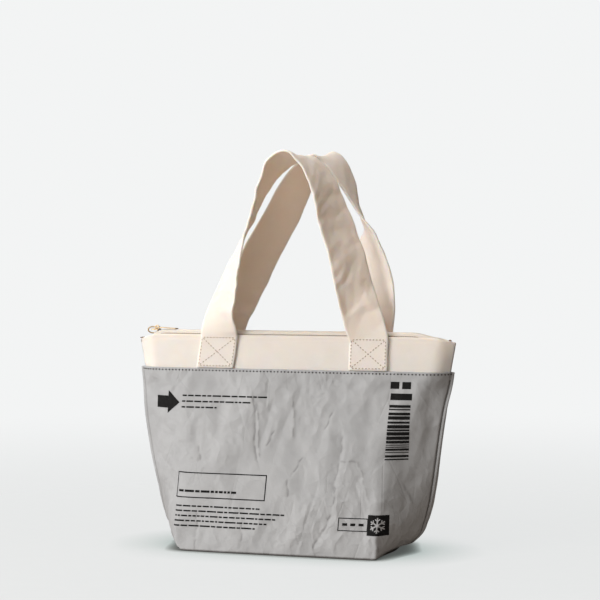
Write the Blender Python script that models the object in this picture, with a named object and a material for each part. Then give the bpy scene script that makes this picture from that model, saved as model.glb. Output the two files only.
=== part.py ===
"""Insulated lunch bag in metres, +Z up, front towards -Y. Named sizes are in millimetres."""

import bpy
import numpy as np

for old in list(bpy.data.objects):
    bpy.data.objects.remove(old)

MM = 0.001

# Body
HEM_TOP = 162.5
HEM_WIDTH = 300.2
HEM_DEPTH = 24.8
HEM_CREASE = 274.0
BASE_WIDTH = 187.0
BASE_END = 3.0
BASE_DEPTH = 116.0
BODY_WALL = 2.5
HEM_WALL = 0.9
CREASE_RADIUS = 14.0

# Bands
BAND_HEIGHT = 30.7
BAND_TUCK = 9.5
BAND_WALL = 1.8
BAND_INSET = 1.9
BAND_END = 1.2
BAND_TOP_DEPTH = 17.6
BAND_SPREAD = 4.6
SEAM_GAP = 0.3
CORNER_DIP = 4.5

# Zip
ZIP_RISE = 4.0
TAPE_TUCK = 12.0
ZIP_SETBACK = 13.1
ZIP_DIP = 3.5
TAPE_WALL = 1.3
TEETH_WIDTH = 2.2
TEETH_DROP = 1.2
TEETH_HEIGHT = 4.5
CLEAR = 0.3

# Slider and pull tab
SLIDER_FROM_END = 1.0
SLIDER_LENGTH = 9.0
SLIDER_WIDTH = 7.0
SLIDER_THICK = 1.2
BAIL_INNER = 1.3
BAIL_WIRE = 0.9
BAIL_THICK = 1.4
TAB_LENGTH = 21.0
TAB_WIDTH = 5.0
TAB_THICK = 0.8
TAB_BAR = 1.0
TAB_WINDOW = 4.5
TAB_SIDE_CLEAR = 0.5

# Handles
STRAP_WIDTH = 36.0
STRAP_THICK = 2.2
STRAP_CLEAR = 0.5
STRAP_TUCK_CLEAR = 0.4
HANDLE_SPACING = 142.9
HANDLE_SHIFT = 1.75
HANDLE_RISE = 164.1
FRONT_LEAN = 12.5
BACK_LEAN = 27.0
ARCH_ROLL = 9.0

BAND_TOP = HEM_TOP + BAND_HEIGHT
ZIP_TOP = BAND_TOP + ZIP_RISE
ZIP_HALF = HEM_WIDTH / 2 - ZIP_SETBACK

# Level sections of the body. Columns: height of the front, as a share of HEM_TOP; how far the seam
# stands above it, as a share of HEM_TOP; width, as a share of the way from base to hem; depth, as a
# share of the way from hem to base; crease, as a share of the way from base to hem; how far the side
# seam lies forward, as a share of half the base depth.
SECTIONS = [
    (0.000, 0.023, 0.000, 1.000, 0.000, 0.000),
    (0.025, 0.029, 0.270, 0.982, 0.000, 0.017),
    (0.062, 0.040, 0.440, 0.952, 0.000, 0.052),
    (0.123, 0.052, 0.548, 0.895, 0.000, 0.086),
    (0.209, 0.049, 0.625, 0.816, 0.000, 0.112),
    (0.308, 0.037, 0.679, 0.721, 0.005, 0.121),
    (0.418, 0.025, 0.730, 0.610, 0.030, 0.121),
    (0.529, 0.012, 0.776, 0.500, 0.055, 0.112),
    (0.640, 0.006, 0.828, 0.386, 0.156, 0.103),
    (0.738, 0.006, 0.876, 0.281, 0.330, 0.086),
    (0.837, 0.000, 0.920, 0.171, 0.556, 0.043),
    (0.905, 0.000, 0.956, 0.092, 0.755, 0.000),
    (1.000, 0.000, 1.000, 0.000, 1.000, 0.000),
]

# Soft creases of the faces. Columns: x and z of each end, then depth and half width. The x are shares
# of half the hem width, the rest shares of HEM_TOP, and a negative depth is a ridge.
CREASES = [
    (-0.24, 0.82, -0.22, 0.49, 0.010, 0.043),
    (-0.19, 0.84, -0.18, 0.52, -0.007, 0.037),
    (0.00, 0.80, 0.00, 0.62, -0.007, 0.031),
    (0.23, 0.75, 0.18, 0.66, 0.007, 0.031),
    (0.31, 0.60, 0.26, 0.34, 0.012, 0.055),
    (0.30, 0.49, 0.45, 0.27, -0.008, 0.037),
    (0.21, 0.17, 0.11, 0.02, 0.008, 0.037),
    (-0.05, 0.38, -0.04, 0.30, 0.006, 0.031),
    (-0.47, 0.85, -0.45, 0.43, 0.007, 0.055),
    (0.42, 0.86, 0.47, 0.59, 0.007, 0.049),
    (-0.34, 0.37, -0.57, 0.06, 0.007, 0.049),
]

# Stations of the free part of each handle. Columns: x as a share of half HANDLE_SPACING, y as a share
# of the handle's lean, z as a share of HANDLE_RISE above the band, turn of the width from +X in degrees.
FRONT_STATIONS = [
    (-1.000, 0.76, 0.029, -8.0),
    (-0.982, 0.84, 0.124, -27.0),
    (-0.862, 0.96, 0.279, -43.0),
    (-0.766, 1.00, 0.407, -54.0),
    (-0.656, 1.00, 0.529, -66.0),
    (-0.563, 0.96, 0.620, -76.0),
    (-0.450, 0.88, 0.748, -80.0),
    (-0.340, 0.84, 0.864, -87.0),
    (-0.205, 0.80, 0.952, -101.0),
    (0.032, 0.76, 1.000, -116.0),
    (0.243, 0.72, 0.949, -121.0),
    (0.377, 0.76, 0.861, -123.0),
    (0.476, 0.84, 0.748, -125.0),
    (0.610, 0.96, 0.590, -134.0),
    (0.710, 1.00, 0.474, -138.0),
    (0.812, 0.96, 0.297, -144.0),
    (0.912, 0.84, 0.124, -162.0),
    (0.978, 0.72, 0.023, -176.0),
]
BACK_STATIONS = [
    (-1.000, 0.35, 0.029, 4.0),
    (-0.935, 0.39, 0.121, 12.0),
    (-0.862, 0.48, 0.188, 20.0),
    (-0.672, 0.63, 0.358, 29.0),
    (-0.462, 0.74, 0.535, 36.0),
    (-0.285, 0.83, 0.672, 42.0),
    (-0.155, 0.91, 0.794, 45.0),
    (0.005, 0.96, 0.919, 54.0),
    (0.222, 1.00, 1.000, 66.0),
    (0.415, 1.00, 0.959, 79.0),
    (0.578, 0.94, 0.846, 94.0),
    (0.698, 0.87, 0.730, 103.0),
    (0.822, 0.78, 0.617, 109.0),
    (0.896, 0.70, 0.523, 123.0),
    (1.025, 0.57, 0.346, 143.0),
    (1.053, 0.44, 0.188, 160.0),
    (1.004, 0.33, 0.023, 176.0),
]

# Columns of a quarter of a level section, as shares of its length from the middle of a face to the seam.
SHARES = np.array(
    [0.0, 0.08, 0.16, 0.24, 0.32, 0.4, 0.47, 0.53, 0.58, 0.62, 0.66, 0.71, 0.77, 0.83, 0.87, 0.9, 0.93, 0.965, 1.0]
)


def smooth(value, low, high):
    t = np.clip((value - low) / (high - low), 0.0, 1.0)
    return t * t * (3.0 - 2.0 * t)


def material(name, colour, roughness, metallic=0.0):
    made = bpy.data.materials.new(name)
    made.use_nodes = True
    shader = made.node_tree.nodes["Principled BSDF"]
    shader.inputs["Base Color"].default_value = (*colour, 1.0)
    shader.inputs["Roughness"].default_value = roughness
    shader.inputs["Metallic"].default_value = metallic
    made.diffuse_color = (*colour, 1.0)
    return made


PAPER = material("coated_paper", (0.40, 0.395, 0.39), 0.6)
CANVAS = material("cotton_canvas", (0.80, 0.73, 0.63), 0.9)
TAPE = material("zip_tape", (0.80, 0.74, 0.66), 0.9)
TEETH = material("zip_teeth", (0.75, 0.68, 0.58), 0.5)
BRASS = material("brass", (0.65, 0.48, 0.22), 0.3, 1.0)

BAG = bpy.data.objects.new("bag", None)
BAG.empty_display_size = 0.05
bpy.context.scene.collection.objects.link(BAG)


def solid(name, points, faces, look, place=(0.0, 0.0, 0.0), angle=40.0):
    """A closed mesh whose faces point out, from points in millimetres around its own origin."""
    points = np.asarray(points, float)
    volume = 0.0
    for face in faces:
        for k in range(1, len(face) - 1):
            a, b, c = points[face[0]], points[face[k]], points[face[k + 1]]
            volume += np.dot(a, np.cross(b, c))
    if volume < 0:
        faces = [tuple(reversed(face)) for face in faces]
    mesh = bpy.data.meshes.new(name)
    mesh.from_pydata([tuple(p) for p in points * MM], [], [tuple(int(i) for i in f) for f in faces])
    mesh.update()
    mesh.materials.append(look)
    mesh.shade_smooth()
    mesh.set_sharp_from_angle(angle=np.radians(angle))
    thing = bpy.data.objects.new(name, mesh)
    thing.location = tuple(np.array(place) * MM)
    thing.parent = BAG
    bpy.context.scene.collection.objects.link(thing)
    return thing


def section_at(z):
    """Half width, half depth, crease x and seam y at a height of the front."""
    table = np.array(SECTIONS)
    at = z / HEM_TOP
    width, depth, crease, forward = (np.interp(at, table[:, 0], table[:, k]) for k in (2, 3, 4, 5))
    low = BASE_WIDTH / 2 + BASE_END
    return (
        low + (HEM_WIDTH / 2 - low) * width,
        HEM_DEPTH / 2 + (BASE_DEPTH - HEM_DEPTH) / 2 * depth,
        BASE_WIDTH / 2 + (HEM_CREASE - BASE_WIDTH) / 2 * crease,
        -forward * BASE_DEPTH / 2,
    )


def rounded_path(corners, radius, shares):
    """Points at shares of the length of a polyline whose inner corners are rounded."""
    corners = [np.array(c, float) for c in corners]
    dense = [corners[0]]
    for i in range(1, len(corners) - 1):
        before = corners[i - 1] - corners[i]
        after = corners[i + 1] - corners[i]
        cut = min(radius, 0.48 * np.linalg.norm(before), 0.48 * np.linalg.norm(after))
        start = corners[i] + before / np.linalg.norm(before) * cut
        end = corners[i] + after / np.linalg.norm(after) * cut
        for t in np.linspace(0, 1, 9):
            dense.append((1 - t) ** 2 * start + 2 * t * (1 - t) * corners[i] + t * t * end)
    dense.append(corners[-1])
    dense = np.array(dense)
    step = np.r_[0, np.cumsum(np.linalg.norm(np.diff(dense, axis=0), axis=1))]
    at = shares * step[-1]
    return np.c_[np.interp(at, step, dense[:, 0]), np.interp(at, step, dense[:, 1])]


def quarter(half, depth, crease, seam_y, side, inset, shares):
    """One quarter of a level section, from the middle of a face to the seam. side is -1 for the front."""
    crown = 0.06 * depth
    edge = crease - 0.6 * inset
    if side < 0:
        corners = [
            (0.0, inset - depth),
            (0.55 * crease, inset - depth + 0.25 * crown),
            (edge, inset - depth + crown),
            (half - inset, seam_y),
        ]
    else:
        corners = [
            (0.0, depth - inset),
            (0.55 * crease, depth - inset - 0.25 * crown),
            (edge, depth - inset - crown),
            (half - inset, 0.05 * depth),
            (half - inset - 0.4, seam_y),
        ]
    return rounded_path(corners, CREASE_RADIUS, shares)


def crumple(points, side):
    """Pushes a face in or out along its soft creases."""
    points = points.copy()
    for x0, z0, x1, z1, depth, width in CREASES:
        turn = -0.9 if side > 0 else 1.0
        start = np.array([x0 * turn * HEM_WIDTH / 2, z0 * HEM_TOP])
        end = np.array([x1 * turn * HEM_WIDTH / 2, z1 * HEM_TOP])
        length = np.linalg.norm(end - start)
        along = (end - start) / length
        to = points[:, [0, 2]] - start
        t = np.clip(to @ along, 0, length)
        away = np.linalg.norm(to - t[:, None] * along, axis=1)
        push = depth * HEM_TOP * np.exp(-((away / (width * HEM_TOP)) ** 2))
        share = points[:, 2] / HEM_TOP
        ends = smooth(share, 0.003, 0.074) * (1 - smooth(share, 0.86, 0.93))
        points[:, 1] -= side * push * ends * (points[:, 1] * side > 6.0)
    return points


def ring(z, inset, rise=0.0):
    """A closed loop of the body at a height, from the left seam along the front and back again."""
    half, depth, crease, seam_y = section_at(z)
    front = quarter(half, depth, crease, seam_y, -1, inset, SHARES)
    back = quarter(half, depth, crease, seam_y, 1, inset, SHARES)
    back[-1] = front[-1]
    lift = rise * smooth(SHARES, 0.55, 1.0)
    n = len(SHARES)
    loop = [(-front[i, 0], front[i, 1], z + lift[i]) for i in range(n - 1, 0, -1)]
    loop += [(front[i, 0], front[i, 1], z + lift[i]) for i in range(n)]
    loop += [(back[i, 0], back[i, 1], z + lift[i]) for i in range(n - 2, -1, -1)]
    loop += [(-back[i, 0], back[i, 1], z + lift[i]) for i in range(1, n - 1)]
    return crumple(crumple(np.array(loop), -1), 1)


def body_shell():
    """The hollow body: an outer and an inner wall, a flat base with raised ends, and a thin hem."""
    levels = [(share * HEM_TOP, rise * HEM_TOP) for share, rise, *_ in SECTIONS]
    outer = [ring(z, 0.0, rise) for z, rise in levels]
    step = HEM_TOP - BAND_TUCK
    inner = [ring(z, BODY_WALL, rise) for z, rise in levels[1:] if z < step - 8.0]
    inner.append(ring(step - 5.0, BODY_WALL))
    inner.append(ring(step - 2.5, HEM_WALL))
    inner.append(ring(HEM_TOP, HEM_WALL))
    points = []
    faces = []
    n = len(outer[0])

    def add(loop):
        points.extend(loop)
        return len(points) - len(loop)

    def skirt(a, b):
        for i in range(n):
            j = (i + 1) % n
            faces.append((a + i, a + j, b + j, b + i))

    out = [add(loop) for loop in outer]
    into = [add(loop) for loop in inner]
    for a, b in zip(out, out[1:]):
        skirt(a, b)
    skirt(out[-1], into[-1])
    for a, b in zip(into, into[1:]):
        skirt(b, a)
    # The underside is flat on the floor inside its edge, and the inside floor is one wall above it.
    under = outer[0] * (0.86, 0.86, 0.0)
    skirt(add(under), out[0])
    floor = inner[0] * (0.84, 0.93, 0.0) + (0.0, 0.0, BODY_WALL)
    skirt(into[0], add(floor))
    for loop, z, flip in ((len(points) - 2 * n, 0.0, True), (len(points) - n, BODY_WALL, False)):
        centre = len(points)
        points.append((0.0, 0.0, z))
        for i in range(n):
            j = (i + 1) % n
            faces.append((loop + j, loop + i, centre) if flip else (loop + i, loop + j, centre))
    solid("body_shell", points, faces, PAPER)


def band_curve(z, inset, side, shares=SHARES):
    """A quarter of a band at a height, from the middle to its end just short of the side seam."""
    if z <= HEM_TOP:
        half, depth, crease, _ = section_at(z)
    else:
        t = (z - HEM_TOP) / BAND_HEIGHT
        half = HEM_WIDTH / 2 + BAND_SPREAD * t
        depth = HEM_DEPTH / 2 + (BAND_TOP_DEPTH - HEM_DEPTH) / 2 * t
        crease = HEM_CREASE / 2 + BAND_SPREAD * t
    path = quarter(half - BAND_END, depth, crease, -SEAM_GAP / 2, -1, inset, shares)
    return path * (1, -side)


def dip(x, size, start, end):
    return size * smooth(np.abs(x), start, end)


def grid_solid(name, first, second, look):
    """A closed solid between two grids of the same shape."""
    rows, columns = first.shape[:2]
    points = np.concatenate([first.reshape(-1, 3), second.reshape(-1, 3)])
    other = rows * columns
    faces = []
    for r in range(rows - 1):
        for c in range(columns - 1):
            a = r * columns + c
            b = a + columns
            faces.append((a, a + 1, b + 1, b))
            faces.append((other + a + 1, other + a, other + b, other + b + 1))
    for c in range(columns - 1):
        a = (rows - 1) * columns + c
        faces.append((c + 1, c, other + c, other + c + 1))
        faces.append((a, a + 1, other + a + 1, other + a))
    for r in range(rows - 1):
        a = r * columns
        b = a + columns
        faces.append((a, b, other + b, other + a))
        a += columns - 1
        b += columns - 1
        faces.append((b, a, other + a, other + b))
    return solid(name, points, faces, look)


def band(name, side):
    levels = [HEM_TOP - BAND_TUCK, HEM_TOP]
    levels += [HEM_TOP + share * BAND_HEIGHT for share in (0.37, 0.7, 1.0)]
    grids = []
    for inset in (BAND_INSET, BAND_INSET + BAND_WALL):
        rows = []
        for level in levels:
            path = band_curve(level, inset, side)
            line = [(-x, y, level) for x, y in path[:0:-1]] + [(x, y, level) for x, y in path]
            line = np.array(line)
            low = dip(line[:, 0], CORNER_DIP, HEM_WIDTH / 2 - 20.0, HEM_WIDTH / 2 + BAND_SPREAD)
            line[:, 2] -= low * smooth(level, HEM_TOP, BAND_TOP)
            rows.append(line)
        grids.append(np.array(rows))
    grid_solid(name, grids[0], grids[1], CANVAS)


def zip_xs():
    middle = np.linspace(-ZIP_HALF + 28.0, ZIP_HALF - 28.0, 11)
    end = np.linspace(ZIP_HALF - 18.0, ZIP_HALF, 6)
    return np.r_[-end[::-1], middle, end]


def zip_drop(x):
    return -dip(x, ZIP_DIP, ZIP_HALF - 12.0, ZIP_HALF + 5.0)


def tape(name, side):
    """A zip tape: its foot lies inside the band, and its top leans in to the teeth."""
    xs = zip_xs()
    top_y = TEETH_WIDTH / 2 + CLEAR + 0.1
    path = band_curve(BAND_TOP, BAND_INSET + BAND_WALL, 1)
    foot_y = np.interp(np.abs(xs), path[:, 0], path[:, 1]) - CLEAR - TAPE_WALL
    low_path = band_curve(BAND_TOP - TAPE_TUCK, BAND_INSET + BAND_WALL, 1)
    low_y = np.interp(np.abs(xs), low_path[:, 0], low_path[:, 1]) - CLEAR - TAPE_WALL
    foot_y = np.maximum(foot_y, top_y)
    low_y = np.maximum(low_y, top_y)
    fall = zip_drop(xs) * 1.0
    rows = [
        (low_y, np.full_like(xs, BAND_TOP - TAPE_TUCK)),
        (foot_y, BAND_TOP - 2.5 + fall),
        (0.5 * foot_y + 0.5 * top_y, BAND_TOP + 0.45 * ZIP_RISE + fall),
        (np.full_like(xs, top_y), ZIP_TOP - 0.8 + fall),
    ]
    inner = np.array([[(x, side * y, z) for x, y, z in zip(xs, ys, zs)] for ys, zs in rows])
    outer = inner.copy()
    outer[:, :, 1] += side * TAPE_WALL
    outer[2, :, 2] += 0.5
    outer[3, :, 2] += 0.6
    inner[3, :, 2] += 0.8
    grid_solid(name, inner, outer, TAPE)


def teeth():
    xs = zip_xs()
    fall = zip_drop(xs)
    grids = []
    for y in (-TEETH_WIDTH / 2, TEETH_WIDTH / 2):
        low = [(x, y, ZIP_TOP - TEETH_DROP - TEETH_HEIGHT + f) for x, f in zip(xs, fall)]
        high = [(x, y, ZIP_TOP - TEETH_DROP + f) for x, f in zip(xs, fall)]
        grids.append(np.array([low, high]))
    grid_solid("zip_teeth", grids[0], grids[1], TEETH)


def prism(outline, low, high):
    """Points and faces of an outline in x and y, extruded along z."""
    points = [(x, y, z) for z in (low, high) for x, y in outline]
    n = len(outline)
    faces = [tuple(range(n)), tuple(range(2 * n - 1, n - 1, -1))]
    for i in range(n):
        j = (i + 1) % n
        faces.append((j, i, n + i, n + j))
    return points, faces


def rounded_bar(start, end, half_width, start_radius, end_radius):
    """Outline of a bar along x whose ends are rounded."""
    outline = []
    for turn in np.linspace(-np.pi / 2, np.pi / 2, 9):
        outline.append((end - end_radius + end_radius * np.cos(turn), half_width * np.sin(turn)))
    for turn in np.linspace(np.pi / 2, 3 * np.pi / 2, 9):
        outline.append((start + start_radius + start_radius * np.cos(turn), half_width * np.sin(turn)))
    return outline


SLIDER_X = SLIDER_FROM_END - ZIP_HALF
SLIDER_LOW = ZIP_TOP + zip_drop(SLIDER_X + SLIDER_LENGTH / 2) + CLEAR + 0.1
HINGE = (SLIDER_X + 1.0, 0.0, SLIDER_LOW + SLIDER_THICK + BAIL_INNER)
TAB_SLOPE = np.arcsin((HINGE[2] - ZIP_TOP - CLEAR - TAB_THICK / 2) / TAB_LENGTH)


def slider():
    """The slider's plate, with the bail standing on it as part of the same solid."""
    half = SLIDER_LENGTH / 2
    outline = rounded_bar(SLIDER_X - half, SLIDER_X + half, SLIDER_WIDTH / 2, 2.5, 1.5)
    points, faces = prism(outline, SLIDER_LOW, SLIDER_LOW + SLIDER_THICK)
    plate = solid("zip_slider", points, faces, BRASS)
    count = 20
    ring_points = []
    for y in (-BAIL_THICK / 2, BAIL_THICK / 2):
        for radius in (BAIL_INNER, BAIL_INNER + BAIL_WIRE):
            for k in range(count):
                turn = 2 * np.pi * k / count
                ring_points.append((radius * np.cos(turn), y, radius * np.sin(turn)))
    ring_faces = []
    for k in range(count):
        m = (k + 1) % count
        ring_faces.append((count + k, count + m, m, k))
        ring_faces.append((2 * count + k, 2 * count + m, 3 * count + m, 3 * count + k))
        ring_faces.append((k, m, 2 * count + m, 2 * count + k))
        ring_faces.append((count + m, count + k, 3 * count + k, 3 * count + m))
    bail = solid("bail", ring_points, ring_faces, BRASS, HINGE)
    join = plate.modifiers.new("join", "BOOLEAN")
    join.operation = "UNION"
    join.solver = "EXACT"
    join.object = bail
    bail.hide_render = True
    bail.display_type = "WIRE"


def pull_tab():
    """The tab, with its origin on its hinge. Its end bar passes through the bail."""
    outline = rounded_bar(-TAB_BAR / 2, TAB_LENGTH, TAB_WIDTH / 2, 0.4, 2.0)
    points, faces = prism(outline, -TAB_THICK / 2, TAB_THICK / 2)
    tab = solid("pull_tab", points, faces, BRASS, HINGE)
    tab.rotation_euler = (0.0, TAB_SLOPE, 0.0)
    half = BAIL_THICK / 2 + TAB_SIDE_CLEAR
    start = TAB_BAR / 2
    hole = [(start, -half), (start + TAB_WINDOW, -half), (start + TAB_WINDOW, half), (start, half)]
    points, faces = prism(hole, -3 * TAB_THICK, 3 * TAB_THICK)
    cutter = solid("tab_window", points, faces, BRASS, HINGE)
    cutter.rotation_euler = (0.0, TAB_SLOPE, 0.0)
    cut = tab.modifiers.new("window", "BOOLEAN")
    cut.operation = "DIFFERENCE"
    cut.solver = "EXACT"
    cut.object = cutter
    cutter.hide_render = True
    cutter.display_type = "WIRE"


def along(table, count):
    """Even points along a Catmull-Rom curve through stations of x, y, z and turn."""
    table = np.array(table, float)
    padded = np.vstack([2 * table[0] - table[1], table, 2 * table[-1] - table[-2]])
    dense = []
    for i in range(1, len(padded) - 2):
        p0, p1, p2, p3 = padded[i - 1 : i + 3]
        for t in np.linspace(0, 1, 12, endpoint=False):
            square = (2 * p0 - 5 * p1 + 4 * p2 - p3) * t * t
            cube = (3 * p1 - p0 - 3 * p2 + p3) * t**3
            dense.append(0.5 * (2 * p1 + (p2 - p0) * t + square + cube))
    dense.append(padded[-2])
    dense = np.array(dense)
    step = np.r_[0, np.cumsum(np.linalg.norm(np.diff(dense[:, :3], axis=0), axis=1))]
    at = np.linspace(0, step[-1], count)
    return np.column_stack([np.interp(at, step, dense[:, k]) for k in range(4)])


def sewn(x, z, side, turn):
    """A station of a strap's sewn end, which lies flat on the outside of its band."""
    path = band_curve(z, BAND_INSET, 1)
    across = np.interp([abs(x) - STRAP_WIDTH / 2, abs(x), abs(x) + STRAP_WIDTH / 2], path[:, 0], path[:, 1])
    y = across.max() + STRAP_CLEAR + STRAP_THICK / 2
    return (x, side * y, z, turn)


def handle(name, stations, side, lean):
    half = HANDLE_SPACING / 2
    free = [
        (HANDLE_SHIFT + x * half, side * y * lean, BAND_TOP + z * HANDLE_RISE, turn) for x, y, z, turn in stations
    ]
    heights = [HEM_TOP + STRAP_TUCK_CLEAR] + [HEM_TOP + share * BAND_HEIGHT for share in (0.31, 0.64, 0.93)]
    turned = -180.0 if side < 0 else 180.0
    table = [sewn(HANDLE_SHIFT - half, z, side, 0.0) for z in heights]
    table += free
    table += [sewn(HANDLE_SHIFT + half, z, side, turned) for z in heights[::-1]]
    path = along(table, 76)
    middle = path[:, :3]
    tangent = np.gradient(middle, axis=0)
    tangent /= np.linalg.norm(tangent, axis=1)[:, None]
    turn = np.radians(path[:, 3])
    width = np.column_stack([np.cos(turn), np.sin(turn), np.zeros(len(turn))])
    width -= (width * tangent).sum(axis=1)[:, None] * tangent
    width /= np.linalg.norm(width, axis=1)[:, None]
    normal = np.cross(tangent, width)
    # The outer edge of each arch stands a little higher than its inner edge.
    roll = np.radians(ARCH_ROLL) * smooth((middle[:, 2] - BAND_TOP) / HANDLE_RISE, 0.65, 0.95)
    roll *= np.where(width[:, 1] * side > 0, 1.0, -1.0) * np.where(normal[:, 2] > 0, 1.0, -1.0)
    width = width * np.cos(roll)[:, None] + normal * np.sin(roll)[:, None]
    normal = np.cross(tangent, width)
    across = np.array([-1.0, -0.96, -0.5, 0.0, 0.5, 0.96, 1.0]) * STRAP_WIDTH / 2
    thick = np.array([0.55, 1.0, 1.0, 1.0, 1.0, 1.0, 0.55]) * STRAP_THICK / 2
    grids = []
    for face in (1, -1):
        grid = middle[:, None, :] + width[:, None, :] * across[None, :, None]
        grids.append(grid + face * normal[:, None, :] * thick[None, :, None])
    grid_solid(name, grids[0], grids[1], CANVAS)


body_shell()
band("front_band", -1)
band("back_band", 1)
tape("zip_tape_front", -1)
tape("zip_tape_back", 1)
teeth()
slider()
pull_tab()
handle("handle_front", FRONT_STATIONS, -1, FRONT_LEAN)
handle("handle_back", BACK_STATIONS, 1, BACK_LEAN)
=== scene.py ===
"""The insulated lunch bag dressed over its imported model.

Named sizes are in millimetres, like the CAD's, where no comment says otherwise.
"""

import math

import bpy
import numpy as np
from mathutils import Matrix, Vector

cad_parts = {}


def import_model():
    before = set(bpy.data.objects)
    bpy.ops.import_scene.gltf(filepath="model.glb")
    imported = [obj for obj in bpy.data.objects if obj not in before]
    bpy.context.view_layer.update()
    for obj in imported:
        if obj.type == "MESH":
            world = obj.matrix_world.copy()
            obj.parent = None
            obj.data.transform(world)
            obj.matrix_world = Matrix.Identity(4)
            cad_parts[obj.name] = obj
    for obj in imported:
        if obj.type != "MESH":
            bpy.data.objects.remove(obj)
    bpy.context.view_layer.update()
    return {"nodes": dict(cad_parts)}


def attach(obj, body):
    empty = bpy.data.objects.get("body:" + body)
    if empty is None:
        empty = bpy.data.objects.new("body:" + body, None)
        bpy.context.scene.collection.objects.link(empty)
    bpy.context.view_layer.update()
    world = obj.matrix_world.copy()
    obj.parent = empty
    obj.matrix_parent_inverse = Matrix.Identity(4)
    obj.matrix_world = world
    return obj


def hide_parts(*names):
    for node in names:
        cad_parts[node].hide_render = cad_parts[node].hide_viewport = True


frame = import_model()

MM = 0.001

# Body, as in the CAD
HEM_TOP = 162.5
HEM_WIDTH = 300.2
HEM_DEPTH = 24.8
HEM_CREASE = 274.0
BASE_WIDTH = 187.0
BASE_END = 3.0
BASE_DEPTH = 116.0
CREASE_RADIUS = 14.0

# Bands, as in the CAD
BAND_HEIGHT = 30.7
BAND_WALL = 1.8
BAND_INSET = 1.9
BAND_END = 1.2
BAND_TOP_DEPTH = 17.6
BAND_SPREAD = 4.6
SEAM_GAP = 0.3
CORNER_DIP = 4.5

# Zip, as in the CAD
ZIP_RISE = 4.0
ZIP_SETBACK = 13.1
ZIP_DIP = 3.5
TAPE_WALL = 1.3
TEETH_WIDTH = 2.2
CLEAR = 0.3

# Handles, as in the CAD
STRAP_WIDTH = 36.0
STRAP_THICK = 2.2
STRAP_CLEAR = 0.5
STRAP_TUCK_CLEAR = 0.4
HANDLE_SPACING = 142.9
HANDLE_SHIFT = 1.75
HANDLE_RISE = 164.1
FRONT_LEAN = 12.5
BACK_LEAN = 27.0
ARCH_ROLL = 9.0

# Only here: how far the handles' left feet lean to the left at the bottom
FOOT_SLANT = 3.3

BAND_TOP = HEM_TOP + BAND_HEIGHT
ZIP_TOP = BAND_TOP + ZIP_RISE
ZIP_HALF = HEM_WIDTH / 2 - ZIP_SETBACK

# Level sections of the body. Columns: height of the front, as a share of HEM_TOP; how far the seam
# stands above it, as a share of HEM_TOP; width, as a share of the way from base to hem; depth, as a
# share of the way from hem to base; crease, as a share of the way from base to hem; how far the side
# seam lies forward, as a share of half the base depth.
SECTIONS = np.array(
    [
        (0.000, 0.023, 0.000, 1.000, 0.000, 0.000),
        (0.025, 0.029, 0.270, 0.982, 0.000, 0.017),
        (0.062, 0.040, 0.440, 0.952, 0.000, 0.052),
        (0.123, 0.052, 0.548, 0.895, 0.000, 0.086),
        (0.209, 0.049, 0.625, 0.816, 0.000, 0.112),
        (0.308, 0.037, 0.679, 0.721, 0.005, 0.121),
        (0.418, 0.025, 0.730, 0.610, 0.030, 0.121),
        (0.529, 0.012, 0.776, 0.500, 0.055, 0.112),
        (0.640, 0.006, 0.828, 0.386, 0.156, 0.103),
        (0.738, 0.006, 0.876, 0.281, 0.330, 0.086),
        (0.837, 0.000, 0.920, 0.171, 0.556, 0.043),
        (0.905, 0.000, 0.956, 0.092, 0.755, 0.000),
        (1.000, 0.000, 1.000, 0.000, 1.000, 0.000),
    ]
)

# Folds of the front. Columns: x and z of each end, then depth, width on the left and on the right of the
# line as it runs from its first end to its second, and sharpness from 0 for soft to 1 for a crease. The x
# are shares of half the hem width, the rest but the last are shares of HEM_TOP. A negative depth is a ridge.
FOLDS = [
    (-0.217, 0.841, -0.160, 0.507, 0.0055, 0.050, 0.014, 0.8),
    (-0.195, 0.800, -0.140, 0.535, -0.0035, 0.014, 0.030, 0.7),
    (0.037, 0.820, 0.056, 0.647, -0.0040, 0.012, 0.035, 0.6),
    (0.284, 0.766, 0.247, 0.690, 0.0035, 0.020, 0.012, 0.9),
    (0.362, 0.640, 0.345, 0.365, 0.0070, 0.025, 0.050, 0.6),
    (0.345, 0.365, 0.325, 0.215, 0.0025, 0.014, 0.020, 0.9),
    (0.372, 0.513, 0.472, 0.505, -0.0025, 0.012, 0.025, 0.9),
    (0.472, 0.505, 0.511, 0.412, -0.0035, 0.030, 0.012, 0.9),
    (0.511, 0.412, 0.545, 0.300, -0.0035, 0.035, 0.012, 0.9),
    (0.325, 0.215, 0.239, 0.060, 0.0045, 0.030, 0.012, 0.9),
    (0.239, 0.060, 0.245, 0.010, 0.0030, 0.012, 0.012, 0.9),
    (0.043, 0.396, 0.050, 0.320, 0.0030, 0.016, 0.012, 0.7),
    (-0.541, 0.560, -0.530, 0.500, 0.0025, 0.016, 0.016, 0.8),
    (-0.519, 0.200, -0.507, 0.013, 0.0028, 0.012, 0.022, 0.8),
    (-0.223, 0.150, -0.218, 0.020, 0.0032, 0.012, 0.022, 0.9),
    (0.740, 0.380, 0.772, 0.290, -0.0030, 0.012, 0.022, 0.7),
    (0.570, 0.230, 0.632, 0.050, -0.0035, 0.022, 0.022, 0.6),
    (-0.070, 0.660, -0.110, 0.590, 0.0020, 0.012, 0.012, 0.9),
    (0.120, 0.520, 0.060, 0.430, 0.0020, 0.012, 0.012, 0.9),
    (-0.420, 0.900, -0.400, 0.620, 0.005, 0.060, 0.060, 0.0),
    (0.560, 0.900, 0.500, 0.520, 0.006, 0.050, 0.060, 0.0),
    (0.130, 0.880, 0.120, 0.560, 0.005, 0.050, 0.050, 0.0),
    (-0.300, 0.400, -0.560, 0.080, 0.006, 0.070, 0.070, 0.1),
]

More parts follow.
